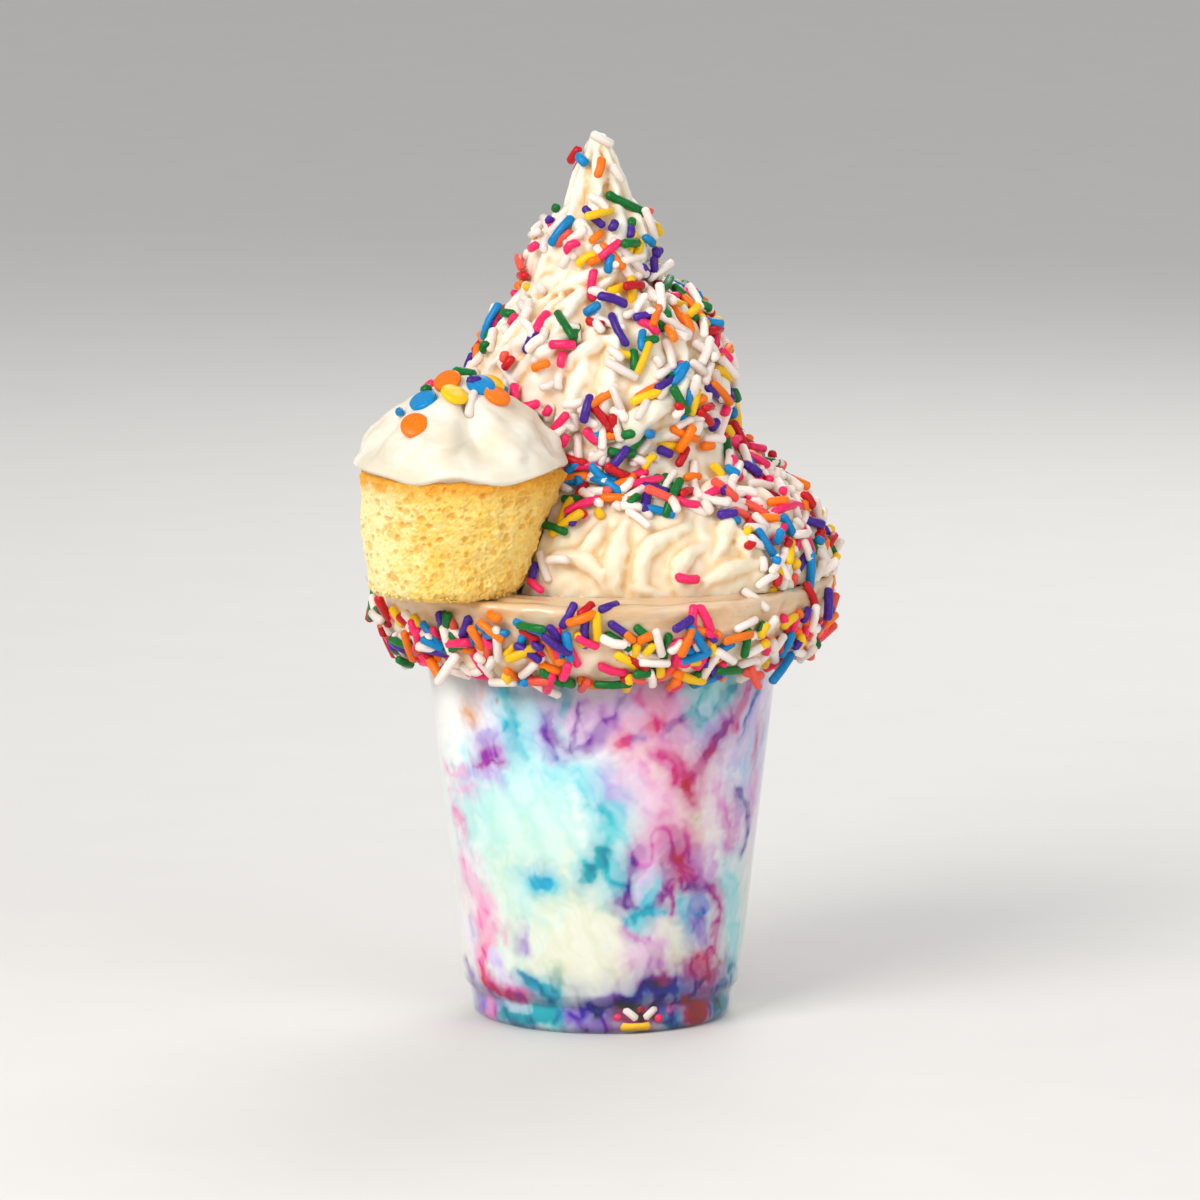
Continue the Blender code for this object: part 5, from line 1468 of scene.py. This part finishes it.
def placed_rods(made, rows, rng, lift):
    """The rods of a table, each laid where its middle is seen, along its seen direction."""
    tree = tree_of(made)
    rods = []
    for name, (start, end) in listed(rows):
        x, up = 0.5 * np.add(start, end)
        place, out = seen(tree, x, up)
        if place is None:
            near, out, _, _ = tree.find_nearest(Vector((x, 0.0, up)))
            place, out = np.array(near), np.array(out)
        seen_way = np.array([end[0] - start[0], 0.0, end[1] - start[1]])
        length = max(np.linalg.norm(seen_way), 3.0)
        way = unit(seen_way + np.array([0.0, 0.15, 0.0]) * length)
        flat = way - (way @ out) * out * 0.8
        rods.append(laid_rod(tree, rng, place, out, unit(flat), length, lift, name))
    return rods


def scattered(made, count, weight, rng, apart, white):
    """Rods laid over a piece at places drawn by weight, which stay apart from each other and
    off the cupcake. Every third rod lies on top of those under it."""
    faces = made.data.polygons
    middle = read(faces, "center", 3).astype(float) / MM
    normal = read(faces, "normal", 3).astype(float)
    area = read(faces, "area", 1)[:, 0]
    shares = area * weight(middle, normal) * ~near_cake(middle)
    picks = rng.choice(len(area), size=6 * count, p=shares / shares.sum())
    tree = tree_of(made)
    places, rods = np.full((count, 3), 1e6), []
    for index in picks:
        if len(rods) == count:
            break
        place, out = middle[index], unit(normal[index])
        piled = len(rods) % 3 == 2
        gone = np.linalg.norm(places - place, axis=1).min()
        if gone < (0.45 * apart if piled else apart):
            continue
        any_way = unit(np.cross(out, rng.normal(size=3)))
        length = rng.choice(ROD_LENGTHS, p=LENGTH_SHARES) * rng.uniform(0.9, 1.1)
        lift = ROD_RADIUS * (1.7 if piled else 0.5)
        rod = laid_rod(tree, rng, place, out, any_way, length, lift, None, white)
        if rng.random() < STANDING:
            rod = (rod[0], rod[1] + out * rng.uniform(0.15, 0.55) * length, *rod[2:])
        rods.append(rod)
        places[len(rods) - 1] = place
    return rods


def near_cake(points):
    """True for points that lie in the cupcake or its frosting, or just beside them."""
    reach, middle, rise = cake_reach(points, 0.0)
    near = np.linalg.norm(points[:, :2] - middle, axis=1) < reach + 1.8
    return near & (rise > -4.0) & (rise < CAKE_HEIGHT + FROSTING_HEIGHT)


def swirl_weight(middle, normal):
    """How thickly sprinkles lie on the swirl: most on its right and middle and in a belt at
    the front, few on the upper left, the tip and the lower front folds."""
    x, z = middle[:, 0], middle[:, 2]
    front = middle[:, 1] < 0
    out = unit(middle[:, :2] - np.stack(axis_at(z), axis=-1))
    facing = np.clip((normal[:, :2] * out).sum(axis=1) + 0.25, 0.0, 1.0)
    bare_left = eased(-x, -13.0, -3.0) * eased(z, 152.0, 160.0) * eased(-z, -196.0, -188.0)
    bare_low = eased(-np.abs(x - 12.0), -27.0, -20.0) * eased(-z, -133.0, -127.0)
    thin = 1 - front * (0.8 * bare_left + 0.98 * bare_low)
    tip = 1 - 0.96 * eased(z, 194.0, 202.0)
    high = 1 + 0.5 * eased(z, 150.0, 190.0) * (x > -6.0) + 0.5 * eased(x, 22.0, 34.0)
    folds = eased(-np.abs(x - 22.0), -12.0, -7.0) * eased(-np.abs(z - 148.0), -14.0, -8.0)
    belt = eased(-np.abs(x - 5.0), -22.0, -14.0) * eased(-np.abs(z - 138.0), -12.0, -6.0)
    high = high * (1 - front * 0.62 * folds) + 1.3 * front * belt * (1 - folds)
    return facing * thin * tip * high * (z > SWIRL_BASE + 1.0) * (normal[:, 2] > -0.75)


def collar_weight(middle, normal):
    """How thickly sprinkles lie on the collar: a dense, clustered band on its lower half."""
    z = middle[:, 2]
    out = unit(middle[:, :2])
    facing = np.clip((normal[:, :2] * out).sum(axis=1) + 0.2, 0.0, 1.0)
    band = 0.09 + 0.91 * eased(-z, -106.5, -102.0)
    band *= 0.35 + 1.3 * eased(ripple(middle, 13.0, 41), -0.5, 0.6)
    return facing * band * (z > 91.3) * (np.hypot(middle[:, 0], middle[:, 1]) > 47.5)


def make_swirl_sprinkles(swirl, material):
    """The swirl's sprinkles: those of the table, and others scattered by its weight."""
    rng = np.random.default_rng(SEED)
    rods = placed_rods(swirl, SWIRL_RODS, rng, 1.5 * ROD_RADIUS)
    rods += scattered(swirl, SWIRL_SCATTERED, swirl_weight, rng, SWIRL_APART, SWIRL_WHITE)
    rods_of("swirl_sprinkles", rods, material)


def make_collar_sprinkles(collar, material):
    """The collar's sprinkles: those of the table, and others scattered by its weight."""
    rng = np.random.default_rng(SEED + 1)
    rods = placed_rods(collar, COLLAR_RODS, rng, 1.2 * ROD_RADIUS)
    rods += scattered(collar, COLLAR_SCATTERED, collar_weight, rng, COLLAR_APART, COLLAR_WHITE)
    rods_of("collar_sprinkles", rods, material)


def make_frosting_sprinkles(frosting, material):
    """The toppings of the frosting: flat discs and a few rods, with more behind the middle."""
    rng = np.random.default_rng(SEED + 2)
    tree = tree_of(frosting)
    rods = placed_rods(frosting, FROSTING_RODS, rng, 0.9 * ROD_RADIUS)
    spots = [(name, *seen(tree, *places[0])) for name, places in listed(FROSTING_DISCS)]
    spots = [spot for spot in spots if spot[1] is not None]
    index = np.arange(9)
    angle = 0.15 * math.pi + index * 0.75 * math.pi / 9
    reach = 8.0 + 5.0 * np.sin(2.3 * index) ** 2
    top = SWIRL_BASE + CAKE_HEIGHT + FROSTING_HEIGHT + 20.0
    above = carried(reach, angle, top, CAKE_TOP_CENTRE)
    names = ("yellow", "blue", "orange", "pink", "lilac", "yellow", "blue", "orange", "pink")
    for index, (name, place) in enumerate(zip(names, above)):
        hit, out, _, _ = tree.ray_cast(Vector(place), Vector((0, 0, -1)))
        hit, out = np.array(hit), np.array(out)
        if index % 3 == 2:
            way = unit(np.cross(out, rng.normal(size=3)))
            rods.append(laid_rod(tree, rng, hit, out, way, 6.5, 0.8, name))
        else:
            spots.append((name, hit, out))
    rods_of("frosting_rods", rods, material)
    discs_of("frosting_discs", spots, rng, material)


def make_sunk_sprinkles(material):
    """Sprinkles that sank to the cup's foot, pressed against the inside of its wall."""
    rng = np.random.default_rng(SEED + 3)
    reach = CUP_FOOT_RADIUS - CUP_WALL - FOOT_ROD_DEPTH
    bend = np.array([0.0, -0.12, 0.0])
    rods = []
    for name, places in listed(FOOT_RODS):
        start, end = (np.array([x, -math.sqrt(reach**2 - x * x), z]) for x, z in places)
        rods.append((start, end, bend, FOOT_ROD_RADIUS, candy_tone(rng, name)))
    rods_of("sunk_sprinkles", rods, material)


# Where it stands

FLOOR_HALF = 8000.0
# Name, place, the height it points at, side, power and colour
LAMPS = (
    ("key", (-700, -900, 900), 110, 700, 13.3, (1.0, 0.98, 0.95)),
    ("fill", (900, -900, 500), 110, 900, 4.0, (0.97, 0.99, 1.0)),
    ("back", (300, 900, 900), 130, 700, 5.0, (1.0, 1.0, 1.0)),
)


def make_floor():
    """A plain pale floor."""
    half = FLOOR_HALF * MM
    corners = [(-half, -half, 0), (half, -half, 0), (half, half, 0), (-half, half, 0)]
    mesh = bpy.data.meshes.new("floor")
    mesh.from_pydata(corners, [], [(0, 1, 2, 3)])
    paint = Paint("floor", Roughness=0.7, Specular_IOR_Level=0.2)
    grain = paint.noise(30.0)
    paint.set("Base Color", paint.blend(grain, tint("E4E2DE"), tint("E8E6E2")))
    mesh.materials.append(paint.material)
    linked("floor", mesh)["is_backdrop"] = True


def aimed(made, place, target):
    """Puts a lamp or a camera at a place, facing a target."""
    made.location = Vector(place) * MM
    way = Vector(target) * MM - made.location
    made.rotation_euler = way.normalized().to_track_quat("-Z", "Y").to_euler()


def light_scene():
    """A pale grey world and three soft square lamps."""
    world = bpy.data.worlds.new("studio")
    world.use_nodes = True
    background = world.node_tree.nodes["Background"]
    background.inputs["Color"].default_value = (*tint("F4F5F7"), 1.0)
    background.inputs["Strength"].default_value = 0.56
    bpy.context.scene.world = world
    for name, place, height, size, power, colour in LAMPS:
        lamp = bpy.data.lights.new(name, "AREA")
        lamp.shape = "SQUARE"
        lamp.size = size * MM
        lamp.energy = power
        lamp.color = colour
        aimed(linked(name, lamp), place, (0, 0, height))


def add_camera():
    """The camera that sees the cup as the photograph does."""
    camera = bpy.data.cameras.new("camera")
    camera.lens = LENS
    camera.sensor_width = SENSOR
    camera.clip_end = 40.0
    made = linked("camera", camera)
    aimed(made, VIEW_FROM, VIEW_AT)
    bpy.context.scene.camera = made


def main():
    """Builds the stage, then each piece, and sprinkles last."""
    scene = bpy.context.scene
    scene.view_settings.view_transform = "Standard"
    add_camera()
    light_scene()
    make_floor()
    make_cup()
    make_filling()
    collar = make_collar()
    swirl = make_swirl()
    crumb = sponge()
    make_cake(crumb)
    make_crumbs(crumb)
    frosting = make_frosting()
    sugar = candy()
    make_swirl_sprinkles(swirl, sugar)
    make_collar_sprinkles(collar, sugar)
    make_frosting_sprinkles(frosting, sugar)
    make_sunk_sprinkles(sugar)
    boxes = {"cad": CAD_BOX, "visual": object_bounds()}
    {k: [list(corner) for corner in box] for k, box in boxes.items()}


main()
